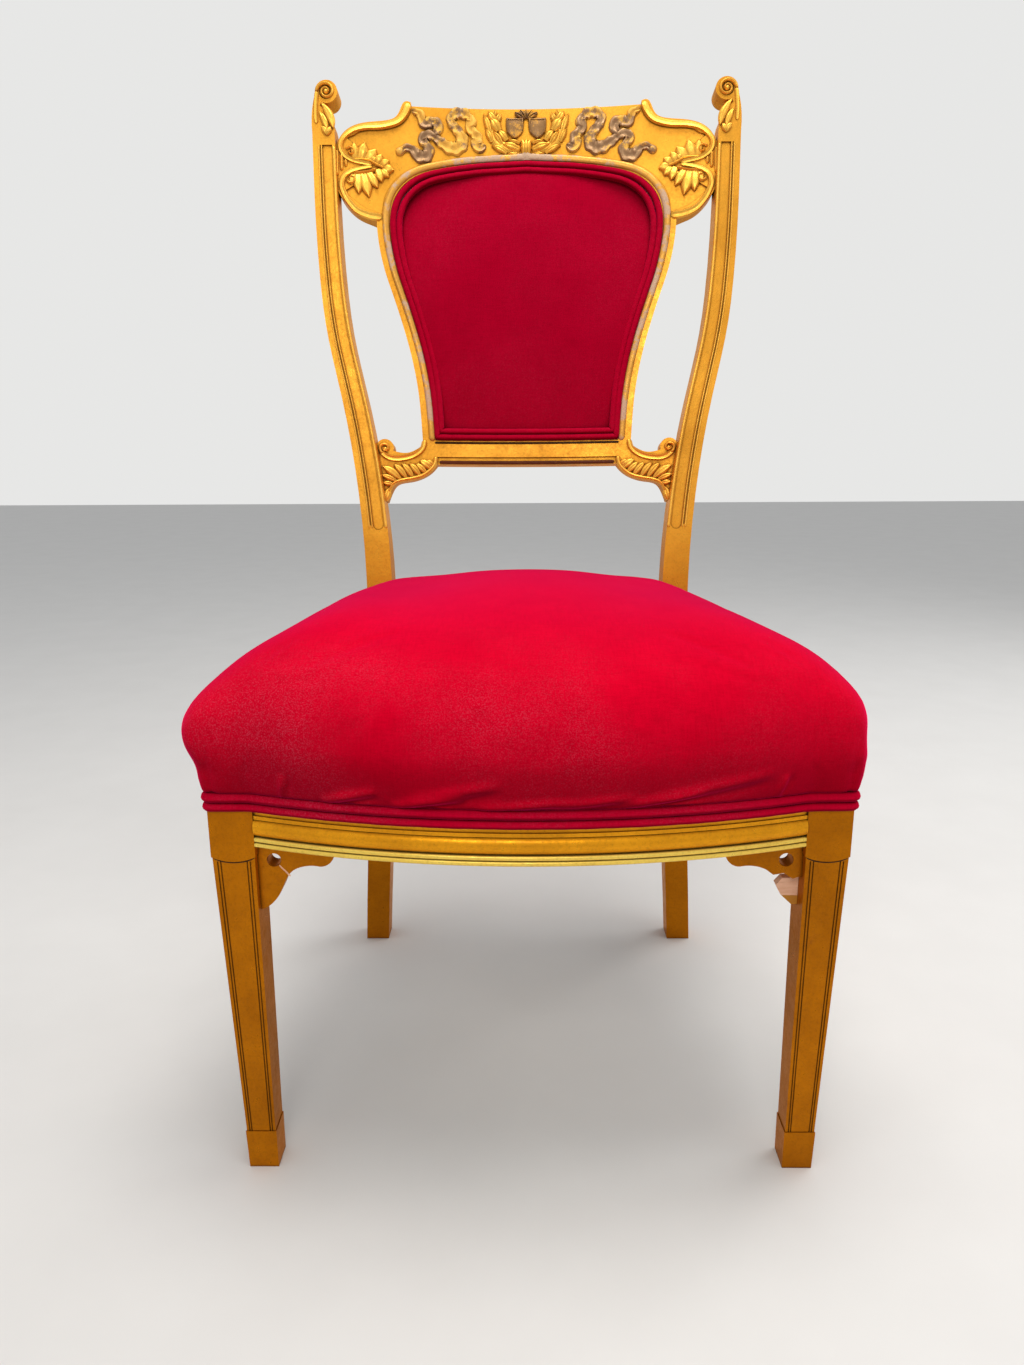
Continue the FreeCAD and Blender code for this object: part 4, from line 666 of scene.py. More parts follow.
rear_low, rear_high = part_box("rear_seat_welt")
rear_y = rear_low.y + cord_radius - CORD_SINK
lines = [resample([(rear_low.x + 0.001, rear_y, z), (rear_high.x - 0.001, rear_y, z)], 0.006)
         for z in (rear_low.z + lower_radius, rear_high.z - cord_radius + CORD_OVERLAP)]
rear_welt = cord_piece("rear_double_welt", lines, (lower_radius, cord_radius))
finish_piece(rear_welt, "velvet_welt")
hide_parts("rear_seat_welt")
print("seat welts:", len(seat_welt.data.polygons) + len(rear_welt.data.polygons), "faces")

# %% [markdown]
# ## The curved back as a drawing board
# The back leans and is hollowed like a barrel. Everything on it is drawn flat, in millimetres
# across, up and proud of the surface, and then laid on the curved board. These three functions do
# that laying on for the panel, for the sunk ground of the crest, and for the flat fronts of the posts.

# %% Laying drawings on the back
LEAN = math.radians(10.5)
POST_FRONT, LEAN_START = 138.45, 440.0
BARREL = 900.0
BARREL_MIDDLE = 8.0 + 206.0 ** 2 / (2 * BARREL) - BARREL
SUNK = 2.4


def on_back(u, v, depth):
    """Metres in the chair's frame from mm across, up the lean, and behind the posts' fronts."""
    u, v, depth = np.asarray(u, float), np.asarray(v, float), np.asarray(depth, float)
    y = POST_FRONT + v * math.sin(LEAN) + depth * math.cos(LEAN)
    z = LEAN_START + v * math.cos(LEAN) - depth * math.sin(LEAN)
    return np.stack([u, y, z], axis=-1) / 1000


def on_panel(u, v, proud):
    return on_back(u, v, BARREL_MIDDLE + np.sqrt(BARREL ** 2 - np.asarray(u, float) ** 2) - proud)


def on_crest_ground(u, v, proud):
    return on_panel(u, v, np.asarray(proud, float) - SUNK)


def on_post(u, v, proud):
    return on_back(u, v, -np.asarray(proud, float))


def smooth_line(points, spacing=1.2):
    """A smooth line through drawn points, as evenly spaced points."""
    p = np.asarray(points, float)
    p = np.vstack([2 * p[0] - p[1], p, 2 * p[-1] - p[-2]])
    line = []
    for a, b, c, d in zip(p[:-3], p[1:-2], p[2:-1], p[3:]):
        for t in np.linspace(0, 1, 12, endpoint=False):
            line.append(0.5 * (2 * b + (c - a) * t + (2 * a - 5 * b + 4 * c - d) * t ** 2
                               + (3 * b - a - 3 * c + d) * t ** 3))
    line.append(p[-2])
    return resample(line, spacing)


PANEL_HALF, PANEL_LOW, PANEL_HIGH = 149.5, 169.0, 473.0
PANEL_MIDDLE = np.array([0.0, 321.0])
# the panel's edge as shares of its half width and height
ARCH = ((0.0, 1.0), (0.15, 0.996), (0.36, 0.989), (0.57, 0.974), (0.745, 0.953), (0.86, 0.922), (0.945, 0.876),
        (0.99, 0.82), (1.0, 0.765))
SIDE = ((1.0, 0.765), (0.985, 0.69), (0.945, 0.60), (0.888, 0.515), (0.833, 0.432), (0.779, 0.34), (0.736, 0.247),
        (0.707, 0.155), (0.692, 0.07), (0.683, 0.0))


def panel_side(inset):
    """The panel's right edge from its top middle down to its lower corner, drawn in by an inset."""
    half, low, high = PANEL_HALF - inset, PANEL_LOW + inset, PANEL_HIGH - inset
    return smooth_line([(a * half, low + b * (high - low)) for a, b in ARCH + SIDE[1:]], 2.0)


def panel_ring(inset):
    """The panel's whole outline, drawn in by an inset."""
    half = panel_side(inset)
    foot = [(x, half[-1][1]) for x in np.linspace(half[-1][0], -half[-1][0], 60)[1:-1]]
    return np.array([*half, *foot, *[(-u, v) for u, v in half[::-1]][:-1]])


print("panel edge:", len(panel_side(0)), "points from", panel_side(0)[0], "to", panel_side(0)[-1])

# %% [markdown]
# ## The back pad and its double welt
# The back is a thin pad on canvas, crowned a little. It is made the same way as the seat, and its
# welt as two cords that follow the edge of the panel and turn squarely at the two lower corners.

# %% Back pad
# mm, and metres for the cells and the swelling
PAD_EDGE, PAD_FRONT, PAD_CELL, PAD_SWELL = 6.0, 4.0, 0.004, 0.0035
PAD_GROWTH = 1.16
pad = copy_of("velvet_back_pad", "back_cover", "back_stuffing")
even_mesh(pad, PAD_CELL, 4)
at = points_of(pad.data)
post_start = np.array([0.0, POST_FRONT, LEAN_START])
lean_up = np.array([0.0, math.sin(LEAN), math.cos(LEAN)])
lean_back = np.array([0.0, math.cos(LEAN), -math.sin(LEAN)])
rel = at * 1000 - post_start
edge = panel_side(PAD_EDGE)
u, v = rel[:, 0], rel @ lean_up - PANEL_MIDDLE[1]
turn, reach = np.arctan2(np.abs(u), v), np.hypot(u, v)
foot = np.stack([np.linspace(edge[-1][0], 0, 40), np.full(40, edge[-1][1])], axis=1)
outline = np.vstack([edge, foot[1:]]) - PANEL_MIDDLE
limit = np.interp(turn, np.arctan2(outline[:, 0], outline[:, 1]), np.hypot(outline[:, 0], outline[:, 1]))
grow = np.minimum(reach * PAD_GROWTH, limit) / np.maximum(reach, 1e-6) - 1
grow *= np.clip((reach / limit - 0.55) / 0.25, 0, 1)
at = at + np.array([0.001, 0, 0]) * (u * grow)[:, None] + lean_up * (0.001 * v * grow)[:, None]
set_points(pad.data, at)
rel = at * 1000 - post_start
behind = rel @ lean_back - (BARREL_MIDDLE + np.sqrt(BARREL ** 2 - rel[:, 0] ** 2))
puff(pad, behind > PAD_FRONT, PRESSURE, np.full(len(at), PAD_SWELL))
subdivide_once(pad)
finish_piece(pad, "velvet", "velvet_back")
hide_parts("back_cover", "back_stuffing")
print("back pad:", len(pad.data.polygons), "faces")

# %% Back welt
lines = [on_panel(*panel_ring(inset).T, 0.6) for inset in (3.6, 10.0)]
back_welt = cord_piece("back_double_welt", lines, (0.0035, 0.0035), closed=True)
finish_piece(back_welt, "velvet_welt", "velvet_welt_back")
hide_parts("back_welt")
print("back welt:", len(back_welt.data.polygons), "faces")

# %% [markdown]
# ## Carving
# Carved ornament is all ridges and leaves, so two strokes are enough. A ridge follows a drawn line
# with a rounded section and rounded ends. A leaf runs from its root to its tip, widest near the
# middle, with a groove down its rib. Both are closed forms, drawn flat and laid on the back. They are
# made in mesh code, because their shapes follow drawn lines that no primitive has.

# %% Carving strokes
FOOT = -0.6  # mm, how far a stroke reaches into the wood


class Carving:
    """Ridges and leaves of one ornament, drawn flat."""

    def __init__(self):
        self.points, self.faces = [], []

    def add_loops(self, loops, base=None):
        """Loops in a row, skinned, with closed ends; open ones are closed by two points at a base."""
        if base is not None:
            loops = [[*loop, (*loop[-1][:2], base), (*loop[0][:2], base)] for loop in loops]
        first, count = len(self.points), len(loops[0])
        for loop in loops:
            self.points.extend(map(tuple, loop))
        for i in range(len(loops) - 1):
            for j in range(count):
                a, b = first + i * count + j, first + i * count + (j + 1) % count
                self.faces.append((a, b, b + count, a + count))
        self.faces.append(tuple(range(first + count - 1, first - 1, -1)))
        last = first + (len(loops) - 1) * count
        self.faces.append(tuple(range(last, last + count)))

    def ridge(self, points, width, height, section=(0.0, 0.62, 0.9, 1.0, 0.9, 0.62, 0.0), taper=(1.0, 1.0),
              smooth=True, base=FOOT, swell=None, ruffle=0.0, flutter=0.0):
        """A ridge along a line; section is its heights across, swell its widths at the points.

        Ruffle is the depth of its pleats, and flutter the waves of its edges.
        """
        line = smooth_line(points) if smooth else resample(points, 1.2)
        run = np.gradient(line, axis=0)
        run /= np.linalg.norm(run, axis=1)[:, None]
        across = np.stack([-run[:, 1], run[:, 0]], axis=1)
        spots = run_along(line)
        share = spots / spots[-1]
        wide = width * (taper[0] + (taper[1] - taper[0]) * share)
        if swell:
            drawn = run_along(np.asarray(points, float))
            wide = wide * np.interp(share, drawn / drawn[-1], swell)
        wide = wide * (1 + flutter * np.sin(0.78 * spots + 0.8 * np.sin(0.21 * spots)))
        near = np.minimum(spots, spots[-1] - spots) / (wide * 0.5)
        rounding = np.sqrt(np.clip(1 - (1 - np.clip(near, 0.04, 1)) ** 2, 0.02, 1))
        loops = []
        spread = np.linspace(-0.5, 0.5, len(section))
        for (u, v), (du, dv), w, r, so_far in zip(line, across, wide, rounding, spots):
            pleat = 1 - ruffle * (0.5 + 0.5 * np.sin(0.52 * so_far + 5.0 * spread + 0.9 * math.sin(0.23 * so_far)))
            top = [(u + du * s * w * r, v + dv * s * w * r, max(0.05, h * p) * height * (0.35 + 0.65 * r))
                   for s, h, p in zip(spread, section, pleat)]
            loops.append(top)
        self.add_loops(loops, base)

    def leaf(self, root, tip, width, height, bend=0.0, groove=0.45, curl=0.25, fullest=0.8, foot=0.0, point=0.7):
        """A leaf from root to tip, bent by a share of its length; fullest moves its widest place towards the tip.

        Foot is the width of its root, and a higher point makes its tip sharper.
        """
        root, tip = np.asarray(root, float), np.asarray(tip, float)
        side = np.array([-(tip - root)[1], (tip - root)[0]])
        middle = (root + tip) / 2 + side * bend
        loops = []
        for s in np.linspace(0, 1, 13):
            spot = (1 - s) ** 2 * root + 2 * s * (1 - s) * middle + s ** 2 * tip
            run = 2 * (1 - s) * (middle - root) + 2 * s * (tip - middle)
            run = run / max(np.linalg.norm(run), 1e-6)
            over = np.array([-run[1], run[0]])
            turn = math.pi * min(1, s ** fullest * 0.985 + 0.015)
            wide = width * max(0.06, math.sin(turn) ** point, foot * (turn < math.pi / 2))
            top = []
            for t in np.linspace(-1, 1, 9):
                rise = math.sqrt(max(0.0, 1 - t * t)) * (1 - groove * math.exp(-(t / 0.22) ** 2))
                rise = height * (rise * (0.55 + 0.45 * math.sin(math.pi * s)) + curl * s * s * (1 - 0.5 * abs(t)))
                top.append((*(spot + over * t * wide / 2), max(0.05, rise)))
            loops.append(top)
        self.add_loops(loops, FOOT)

    def spiral(self, centre, outer, inner, turns, start, width, height, taper=(1.0, 0.55)):
        """A scroll that winds inwards from an angle, turning left for positive turns."""
        line = []
        for t in np.linspace(0, 1, 40):
            angle = math.radians(start) + 2 * math.pi * turns * t
            reach = outer + (inner - outer) * t ** 0.85
            line.append((centre[0] + reach * math.cos(angle), centre[1] + reach * math.sin(angle)))
        self.ridge(line, width, height, taper=taper)

    def knob(self, centre, radius, height):
        loops = []
        for t in np.linspace(0.999, 0.12, 6):
            ring = [(centre[0] + radius * t * math.cos(a), centre[1] + radius * t * math.sin(a),
                     height * math.sqrt(1 - t * t)) for a in np.linspace(0, 2 * math.pi, 16, endpoint=False)]
            loops.append(ring)
        low = [(u, v, FOOT) for u, v, _ in loops[0]]
        self.add_loops([low] + loops)


def closed_piece(name, points, faces):
    """A new piece from points in metres and closed faces, which are turned outward."""
    mesh = bpy.data.meshes.new(name)
    mesh.from_pydata(points, [], faces)
    work = bmesh.new()
    work.from_mesh(mesh)
    bmesh.ops.recalc_face_normals(work, faces=work.faces)
    work.to_mesh(mesh)
    work.free()
    return new_object(name, mesh)


def carve(name, drawn, place, slot="gilded_wood", finish=None, sides=(-1, 1), stands_for=()):
    """Lays a drawn carving on its place, as drawn (1), mirrored (-1) or both."""
    points, faces = [], []
    for side in sides:
        first = len(points)
        flat = np.array(drawn.points)
        points.extend(place(flat[:, 0] * side, flat[:, 1], flat[:, 2]).tolist())
        faces.extend([tuple(first + i for i in face) for face in drawn.faces])
    piece = closed_piece(name, points, faces)
    finish_piece(piece, slot, finish, angle=50)
    if stands_for:
        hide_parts(*stands_for)
    print(name, len(faces), "faces")


def carve_pair(what, drawn, slot):
    """A left and a right piece on the crest, in place of the CAD nodes of the same names."""
    for side, name in ((-1, f"{what}_left"), (1, f"{what}_right")):
        carve(name, drawn, on_crest_ground, slot, sides=(side,), stands_for=(f"crest_{name}",))

# %% [markdown]
# ## Rims, scrolls and collar of the crest
# A raised rim runs from the peak down the swan neck, rounds the ear and turns under into a scroll.
# A second rim comes up the same way from below. Where the two meet, three small bars make a
# collar against the post.

# %% Crest rims
rims = Carving()
rims.ridge([(128, 530), (132.5, 519.5), (140.5, 511), (156, 505.5), (174, 503), (186.5, 499), (195, 492.5),
            (199.8, 485), (200.4, 478), (197.5, 472), (192, 468), (184, 465.5), (168, 463.5)], 8.6, 3.0,
           section=(0.0, 1.0, 0.92, 0.66, 0.62, 0.64, 0.68, 0.0), taper=(1.0, 0.5))
rims.spiral((190.0, 475.5), 5.2, 1.2, 1.1, 20, 3.2, 3.2)
rims.ridge([(158, 408.5), (171, 409.5), (184, 414.2), (193, 423.5), (198, 433), (199.6, 440), (197.6, 448),
            (193, 453), (185, 457), (168, 461.5)], 8.6, 3.0,
           section=(0.0, 0.68, 0.64, 0.62, 0.66, 0.92, 1.0, 0.0), taper=(1.0, 0.5))
rims.spiral((189.5, 447.0), 5.2, 1.2, -1.1, -20, 3.2, 3.2)
for u, low, high in ((204.3, 449.5, 475.5), (199.6, 455, 471.5), (195.2, 459.5, 466.5)):
    rims.ridge([(u, low), (u, (low + high) / 2), (u, high)], 3.4, 3.0, smooth=False)
carve("crest_rims", rims, on_panel, finish="gilded_ornament")

# %% Palmettes
palmette = Carving()
for stem in ([(191.7, 466.3), (183.5, 468.0), (171.6, 468.6), (164.2, 465.2), (153.8, 460.9)],
             [(191.8, 458.1), (185.2, 455.2), (176.0, 456.0), (163.0, 459.4)]):
    palmette.ridge(stem, 6.0, 4.2, taper=(0.8, 0.6))
for root, tip, wide in (
        ((185.5, 468.5), (186.5, 486.0), 9.0), ((180.0, 468.5), (175.0, 486.6), 11.0),
        ((174.0, 468.0), (163.0, 480.0), 11.0), ((169.5, 466.5), (163.2, 472.0), 6.6),
        ((164.0, 465.0), (157.4, 475.2), 8.8), ((159.0, 463.5), (149.6, 469.6), 9.0),
        ((157.0, 461.5), (144.4, 459.6), 9.6), ((158.0, 460.0), (150.0, 451.6), 8.6),
        ((162.0, 459.5), (157.5, 446.0), 9.0), ((172.0, 456.0), (162.0, 439.6), 9.6),
        ((177.5, 454.5), (171.2, 429.4), 11.0), ((183.0, 454.0), (182.2, 432.4), 10.0),
        ((187.5, 454.0), (190.2, 440.4), 7.6)):
    palmette.leaf(root, tip, wide * 1.2, 4.6, 0.0, groove=0.2, curl=0.4, fullest=0.95, foot=0.85, point=1.0)
for bed in ([(190, 470), (181, 471.5), (170, 471), (160, 466.5), (152, 461)],
            [(190, 453), (182, 449), (174, 449), (164, 453), (155, 459)]):
    palmette.ridge(bed, 9.0, 2.4, taper=(0.7, 0.7))
carve_pair("palmette", palmette, "gilded_ornament")

# %% [markdown]
# ## Ribbons, wreath and shields
# A laurel wreath tied with a knot holds two plain shields, and a fluttering ribbon trails to each
# side. The ribbon is a flat ridge with one soft pleat along it, narrowed where it folds. The laurel is a
# fat bunch of leaves on each side, drawn one by one from the knot to the open top.

# %% Ribbons
ribbon = Carving()
pleats = (0.0, 0.90, 1.0, 0.95, 0.74, 0.50, 0.56, 0.78, 0.84, 0.0)
for line, wide, swell in (
        ([(138.3, 479.8), (130.7, 484.7), (123.1, 482.1), (118.6, 476.7), (110.5, 476.3), (106.4, 481.4),
          (109.4, 488.7), (114.4, 494.4), (107.2, 499.3), (98.6, 496.2)], 9.2,
         (0.8, 0.72, 0.95, 1.3, 1.35, 1.1, 0.95, 0.9, 1.05, 1.0)),
        ([(100.6, 497.0), (91.0, 490.5), (83.4, 486.3), (75.2, 486.6), (69.5, 493.2), (73.6, 502.5),
          (80.2, 510.7), (82.2, 517.0), (78.0, 522.6), (69.3, 523.4), (61.6, 519.7)], 10.4,
         (0.9, 1.0, 1.22, 1.3, 1.15, 0.95, 0.85, 0.9, 1.0, 1.1, 1.0)),
        ([(64.0, 521.5), (60.0, 515.3), (62.5, 508.7), (57.2, 502.8), (53.6, 497.0), (54.6, 490.0),
          (50.0, 487.6), (44.3, 490.0)], 9.6, (0.9, 1.05, 0.9, 1.0, 1.15, 1.2, 1.0, 0.7)),
        ([(124.2, 524.3), (116.6, 521.6), (113.9, 514.8), (110.2, 510.4), (103.1, 513.3), (96.4, 510.6),
          (97.0, 504.7), (101.7, 499.5)], 9.0, (0.65, 0.9, 0.95, 1.1, 1.2, 1.15, 0.95, 0.9))):
    ribbon.ridge(line, wide * 1.16, 4.4, section=pleats, swell=swell, ruffle=0.34, flutter=0.12)
ribbon.knob((138.0, 480.2), 4.6, 4.4)
carve_pair("ribbon", ribbon, "worn_ornament")

# %% Wreath and knot
wreath = Carving()
for root, tip, wide, rise in (
        ((7.5, 480.6), (21.3, 480.0), 4.2, 3.6), ((8.0, 486.2), (25.7, 490.7), 7.6, 5.2),
        ((7.1, 492.5), (19.9, 494.4), 4.2, 4.2), ((21.3, 481.8), (38.1, 489.8), 5.8, 4.4),
        ((26.6, 490.7), (36.3, 504.4), 6.0, 5.4), ((37.6, 493.5), (44.3, 507.1), 5.8, 4.4),
        ((21.3, 495.3), (30.5, 505.3), 7.4, 4.6), ((38.9, 501.6), (46.5, 522.5), 6.6, 4.6),
        ((30.1, 505.0), (38.9, 517.6), 10.0, 6.0), ((33.6, 513.6), (41.6, 525.0), 7.6, 5.0),
        ((32.8, 514.6), (28.3, 524.0), 6.0, 4.6), ((37.2, 519.0), (33.6, 526.6), 5.0, 5.2)):
    wreath.leaf(root, tip, wide * 1.3, rise, 0.08, groove=0.25, curl=0.3, fullest=0.85, foot=0.72, point=0.9)
wreath.ridge([(6, 487), (19, 487.5), (29, 492), (36, 501), (38.5, 512), (36, 523)], 14.0, 2.6, taper=(0.8, 0.9))
carve("laurel_wreath", wreath, on_crest_ground, "gilded_ornament", stands_for=("crest_wreath",))
knot = Carving()
for rib in (-5.6, 0.0, 5.6):
    knot.leaf((rib * 0.7, 479.2), (rib * 0.9, 495.4), 7.6, 7.2 - abs(rib) * 0.2, 0.05 * rib, groove=0.08, fullest=1.0)
carve("wreath_knot", knot, on_crest_ground, "gilded_ornament", sides=(1,))

# %% Shields and the small spray above them
shields = Carving()
outline = [(-9.3, 519), (-4.5, 518.4), (0, 518.9), (4.5, 518.4), (9.3, 519), (9.4, 509.5), (8.2, 504.0), (4.6, 500.2),
           (0, 497.2), (-4.6, 500.2), (-8.2, 504.0), (-9.4, 509.5)]
for middle_u in (-12.4, 12.4):
    centre = np.array([middle_u, 509.0])
    rings = []
    for grow, height in ((1.0, FOOT), (1.0, 2.3), (0.93, 2.9), (0.84, 2.9), (0.80, 2.2), (0.40, 2.6), (0.02, 2.9)):
        rings.append([(*(centre + (np.array([u + middle_u, v]) - centre) * grow), height) for u, v in outline])
    shields.add_loops(rings)
for tip_u, tip_v in ((-12.5, 524.6), (-6.5, 527), (0, 527.6), (6.5, 527), (12.5, 524.6)):
    shields.leaf((tip_u * 0.12, 518.6), (tip_u, tip_v), 6.4, 4.4, 0.0, fullest=0.9)
carve("pair_of_shields", shields, on_crest_ground, "worn_ornament", "worn_shield", sides=(1,),
      stands_for=("crest_shields",))

# %% [markdown]
# ## The bead beside the panel
# A bead worn down to its pale ground follows the edge of the panel on the crest and the stiles. It is
# one ridge along the panel's edge, a little outside it, with a small peak over the middle.

# %% Worn bead
bead = Carving()
edge_line = panel_side(-4.3)
edge_line = edge_line[edge_line[:, 1] > 167.5]
bead.ridge(edge_line, 7.6, 2.0, section=(0.0, 0.75, 0.9, 1.0, 0.95, 0.8, 0.0), smooth=False)
bead.leaf((0, 473.6), (0, 484.0), 15.0, 2.3, groove=0.0, curl=0.0, fullest=0.55, foot=0.9)
carve("worn_panel_bead", bead, on_panel, finish="pale_ground")

# %% [markdown]
# ## Scrolls on the posts
# Each post ends in a scroll that winds inwards over one and a half times, above a twisted leaf with a
# heart at its foot. The CAD post has the round boss and the stem. The winding ridge and the leaf are
# laid on its front. Three thin reeds catch the light down the post, beside the sunk channel of the CAD model.

# %% Post scrolls
post_scroll = Carving()
eye = (213.9, 533.0)
post_scroll.ridge([(224.6, 500), (225.2, 512), (224.6, 523), (223.6, 533)], 5.6, 1.6,
                  section=(0.0, 0.9, 0.7, 0.7, 0.9, 0.0), taper=(0.8, 0.9))
post_scroll.spiral(eye, 10.0, 1.9, 1.6, 0, 3.6, 3.0, taper=(1.0, 0.75))
post_scroll.knob(eye, 2.8, 2.6)
for root, tip, wide, bend in (
        ((219.0, 521), (206.6, 494.5), 9.0, -0.16), ((221.2, 512), (213.0, 493.0), 7.6, -0.12),
        ((213.3, 487.0), (218.6, 496.4), 6.6, 0.15), ((213.3, 487.0), (208.6, 495.6), 6.6, -0.15)):
    post_scroll.leaf(root, tip, wide, 3.6, bend, groove=0.2, fullest=1.15)
carve("post_scrolls", post_scroll, on_post, finish="gilded_ornament")

# %% Reeds on the posts
# height up the lean, inner edge and outer edge of the post's front, in mm, as in the CAD model
post_edges = [(70, 153.4, 180.9), (110, 157.9, 185.0), (150, 163.8, 190.5), (190, 171.0, 197.5), (230, 179.8, 205.9),
              (270, 188.7, 214.5), (310, 195.2, 220.7), (350, 199.2, 224.3), (390, 201.9, 226.7), (430, 203.6, 228.0),
              (476, 204.9, 229.0)]
reeds = Carving()
for share, wide, rise in ((0.065, 3.2, 1.3), (0.61, 1.5, 0.9), (0.73, 1.7, 0.9)):
    reeds.ridge([(inner + (outer - inner) * share, v) for v, inner, outer in post_edges], wide, rise)
carve("post_reeds", reeds, on_post, finish="gilded_ornament")

# %% [markdown]
# ## Leaf brackets of the lower rail
# At each end the lower rail turns up into a scroll, and a long leaf curls below it to the post.
# The scroll is a broad ridge that ends in a spiral, and the leaf is a row of lobes from one stem.

# %% Lower brackets
bracket = Carving()
bracket.ridge([(113.8, 169), (116.5, 159.9), (124.7, 153.0), (135.6, 149.3), (147.2, 148.3), (155.4, 150.5),
               (161.4, 155.4)], 7.0, 3.4, section=(0.0, 0.95, 0.75, 0.7, 0.75, 0.95, 0.0), taper=(0.9, 0.9))
bracket.spiral((157.6, 159.6), 6.2, 1.6, 1.35, -75, 4.6, 3.4)
bracket.knob((157.0, 158.6), 2.6, 3.4)
bracket.ridge([(101.5, 151), (103, 143), (108.5, 136), (117, 130.2), (128, 127), (140, 124.8), (149, 120.5),
               (154, 111)], 6.0, 3.4, taper=(0.9, 0.6))
for root, tip, wide, bend in (((104.5, 140), (112.4, 146.4), 7.0, 0.12), ((106.5, 137), (119.5, 146.6), 8.5, 0.12),
                              ((112, 132), (123.7, 143.0), 7.0, 0.10), ((119, 129), (131.0, 143.0), 7.5, 0.12),
                              ((127, 127), (139.0, 142.8), 7.5, 0.12), ((134, 126), (147.5, 142.0), 7.5, 0.12),
                              ((140, 125), (160.0, 139.5), 9.0, 0.10), ((144, 123), (161.5, 130.0), 6.5, 0.06),
                              ((148, 120), (160.0, 121.5), 6.0, 0.02), ((153, 116), (157.5, 100.5), 8.0, 0.05)):
    bracket.leaf(root, tip, wide * 1.1, 3.8, bend, groove=0.25, fullest=1.1)
carve("leaf_brackets", bracket, on_panel, finish="gilded_ornament")

# %% [markdown]
# ## Painted shadow lines, a dark red line and damage
# A painted shadow lies under the rounded block of each front leg and along the ledge below the panel, a dark red
# line runs along the foot of the lower rail, and the left front bracket is cracked from its piercing
# to its edge. Each is a thin line on the surface, drawn like the carving.

# %% Painted shadow lines, a dark red line and a crack
# painted shadow: a near-black finish for the lines under the leg blocks and along the ledge below the panel
gilded("painted_shadow_line", "painted_shadow_line", (0.050, 0.020, 0.007), (0.028, 0.011, 0.004), (0.16, 0.06, 0.015), 0.35, metal=0.0)
gilded("red_clay", "dark_red_strip", (0.105, 0.024, 0.011), (0.060, 0.012, 0.006), (0.30, 0.12, 0.025), 0.45,
       metal=0.05)
FRONT_PLANE = -233.55


def on_leg(x, z, proud, setback=0.8):
    """Metres in the chair's frame on a flat front, set back a little from the front plane."""
    return np.stack([x, FRONT_PLANE + setback - np.asarray(proud, float), z], axis=-1) / 1000


def on_bracket(x, z, proud):
    return on_leg(x, z, proud, setback=9.0)


under_block = [(216.0, 291.2), (223.0, 288.4), (232.5, 287.3), (242.0, 288.4), (249.0, 291.2)]
crack = [(199.2, 281.4), (196.0, 277.6), (194.0, 275.6), (190.6, 271.4)]
ledge, rail_foot = [[(-half, v), (0.0, v), (half, v)] for half, v in ((103.0, 166.6), (98.0, 145.2))]
for name, line, wide, rise, place, slot, finish, sides in (
        # the first two are painted shadows
        ("painted_shadow_under_leg_blocks", under_block, 1.5, 0.3, on_leg, "gilded_wood", "painted_shadow_line", (-1, 1)),
        ("painted_shadow_on_lower_ledge", ledge, 2.6, 0.35, on_panel, "gilded_wood", "painted_shadow_line", (1,)),
        # a dark red line along the foot of the lower rail
        ("dark_red_line_on_lower_rail", rail_foot, 3.6, 0.35, on_panel, "gilded_wood", "red_clay", (1,)),
        ("bracket_crack", crack, 1.3, 0.3, on_bracket, "bare_wood", "fresh_break", (-1,))):
    drawn = Carving()
    straight = place is on_panel
    drawn.ridge(line, wide, rise, smooth=not straight, base=-0.4 if straight else -0.3)
    carve(name, drawn, place, slot, finish, sides)

# %% [markdown]
# ## The cloth behind and below
# Velvet closes the back of the panel, canvas lies over the springs, and jute webbing carries them.
# They are thin, so the remesh that made the cushions would eat them. The velvet is drawn in rings on the
# curved back. Canvas and webbing are copies of their CAD forms, cut into small cells and a little waved.

# %% Outside back
def panel_sheet(name, inset, near, far):
    """A thin sheet across the panel, in rings from its outline in to its middle, between two depths."""
    edge, rings = panel_ring(inset), 20
    shares = np.linspace(1.0, 0.05, rings)
    flat = np.vstack([PANEL_MIDDLE + (edge - PANEL_MIDDLE) * share for share in shares] + [PANEL_MIDDLE])
    u, v = flat.T
    sag = 1.2 * np.sin(u * 0.05 + 1.0) * np.sin(v * 0.045) * np.clip((v - 175) / 40, 0, 1)
    sag *= np.clip((465 - v) / 40, 0, 1) * np.clip((105 - np.abs(u)) / 40, 0, 1)
    points, faces, count, layer = [], [], len(edge), len(flat)
    for first, depth in ((0, near), (layer, far)):
        points.extend(on_back(u, v, BARREL_MIDDLE + np.sqrt((BARREL + depth + sag) ** 2 - u ** 2)).tolist())
        for i in range(count):
            after = (i + 1) % count
            for ring in range(first, first + (rings - 1) * count, count):
                faces.append((ring + i, ring + after, ring + count + after, ring + count + i))
            inner = first + (rings - 1) * count
            faces.append((inner + i, inner + after, first + layer - 1))
    faces.extend([(i, (i + 1) % count, layer + (i + 1) % count, layer + i) for i in range(count)])
    return closed_piece(name, points, faces)


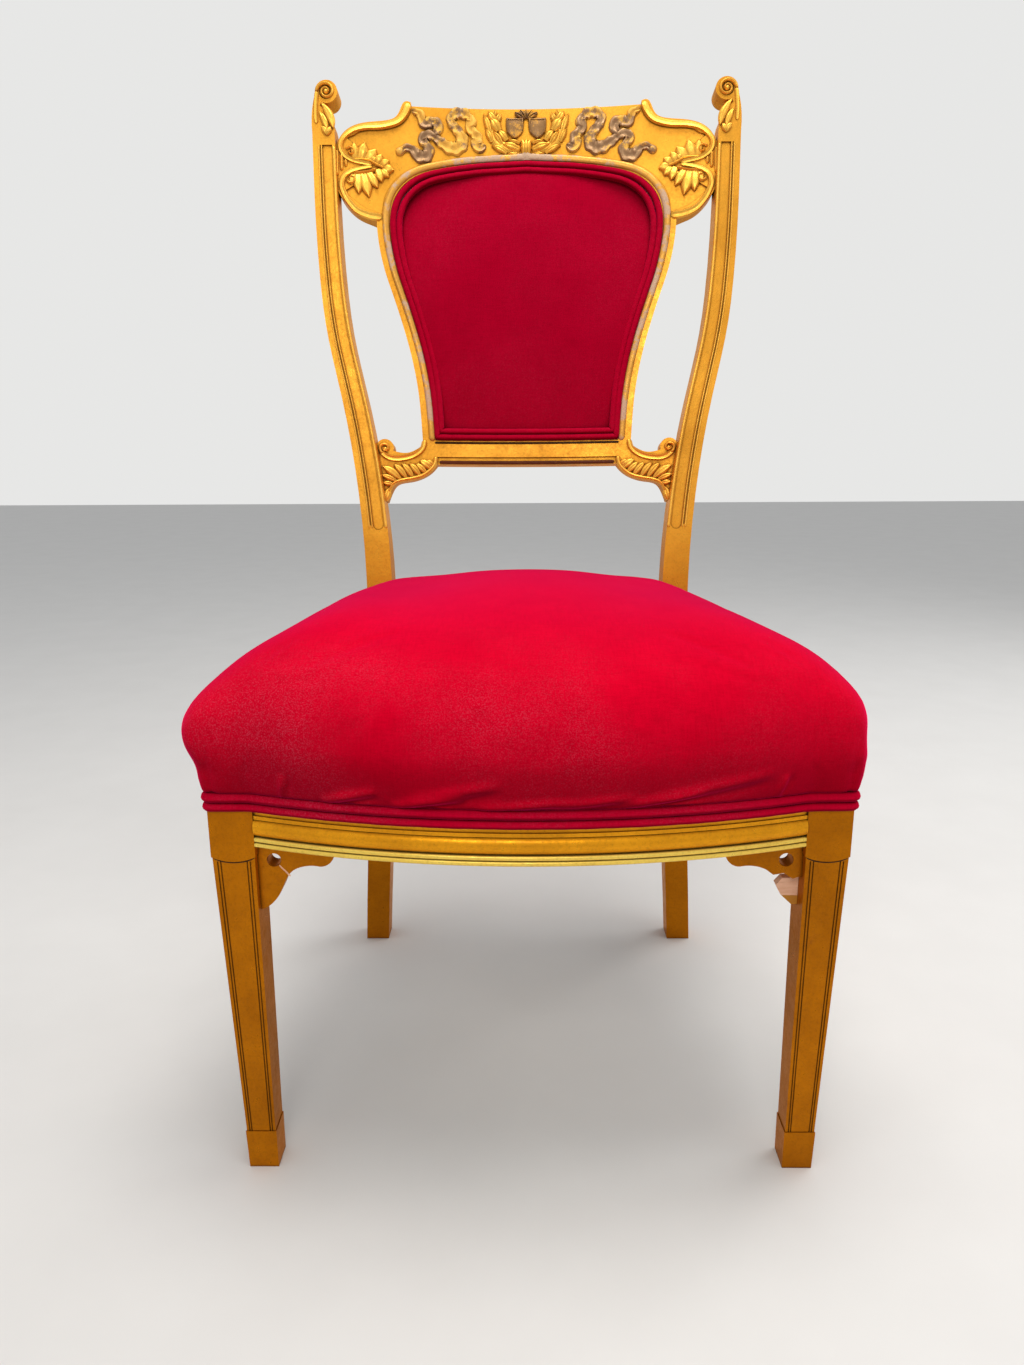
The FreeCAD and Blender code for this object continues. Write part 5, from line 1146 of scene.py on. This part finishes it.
rear_cover = panel_sheet("outside_back_velvet", 5.5, 21.0, 23.5)
finish_piece(rear_cover, "velvet", angle=40)
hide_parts("outside_back_cover")
print("outside back:", len(rear_cover.data.polygons), "faces")

# %% Canvas and webbing
def cloth_area(piece):
    """Area of one face of a thin sheet."""
    return sum(face.area for face in piece.data.polygons) / 2


def cut_in_cells(piece, size, axes):
    """Bisects a piece into cells along the given axes, so that its faces can bend."""
    choose(piece)
    at = points_of(piece.data)
    low, high = at.min(0), at.max(0)
    bpy.ops.object.mode_set(mode="EDIT")
    for axis in axes:
        normal = np.eye(3)[axis]
        for place in np.arange(low[axis] + size / 2, high[axis], size):
            bpy.ops.mesh.select_all(action="SELECT")
            bpy.ops.mesh.bisect(plane_co=normal * place, plane_no=normal, use_fill=False)
    bpy.ops.object.mode_set(mode="OBJECT")


def lay_cloth(node, name, slot, cell, axes, wave=None):
    """A copy of a thin CAD sheet, cut in cells and waved in height, in place of its node."""
    piece = copy_of(name, node)
    cut_in_cells(piece, cell, axes)
    at = points_of(piece.data)
    if wave:
        at[:, 2] += wave(*at.T)
    set_points(piece.data, at)
    finish_piece(piece, slot, angle=40)
    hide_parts(node)
    print(name, len(piece.data.polygons), "faces,", round(cloth_area(piece), 4), "square metres")


lay_cloth("spring_canvas", "spring_canvas_cloth", "canvas", 0.012, (0, 1),
          lambda x, y, z: np.where((z > 0.42) & (z < 0.45), 0.0008 * np.sin(x * 90) * np.sin(y * 85), 0))
lay_cloth("back_canvas", "back_canvas_cloth", "canvas", 0.012, (0, 2))
lay_cloth("seat_webbing_lengthwise", "jute_webbing_lengthwise", "webbing", 0.010, (1, 0),
          lambda x, y, z: 0.00025 * np.sin(y * 260) * np.sin(x * 190))
lay_cloth("seat_webbing_crosswise", "jute_webbing_crosswise", "webbing", 0.010, (0, 1),
          lambda x, y, z: 0.00025 * np.sin(x * 260) * np.sin(y * 190))
lay_cloth("back_webbing", "jute_webbing_back", "webbing", 0.010, (2, 0))
print("outside back", round(cloth_area(rear_cover), 4), "square metres")
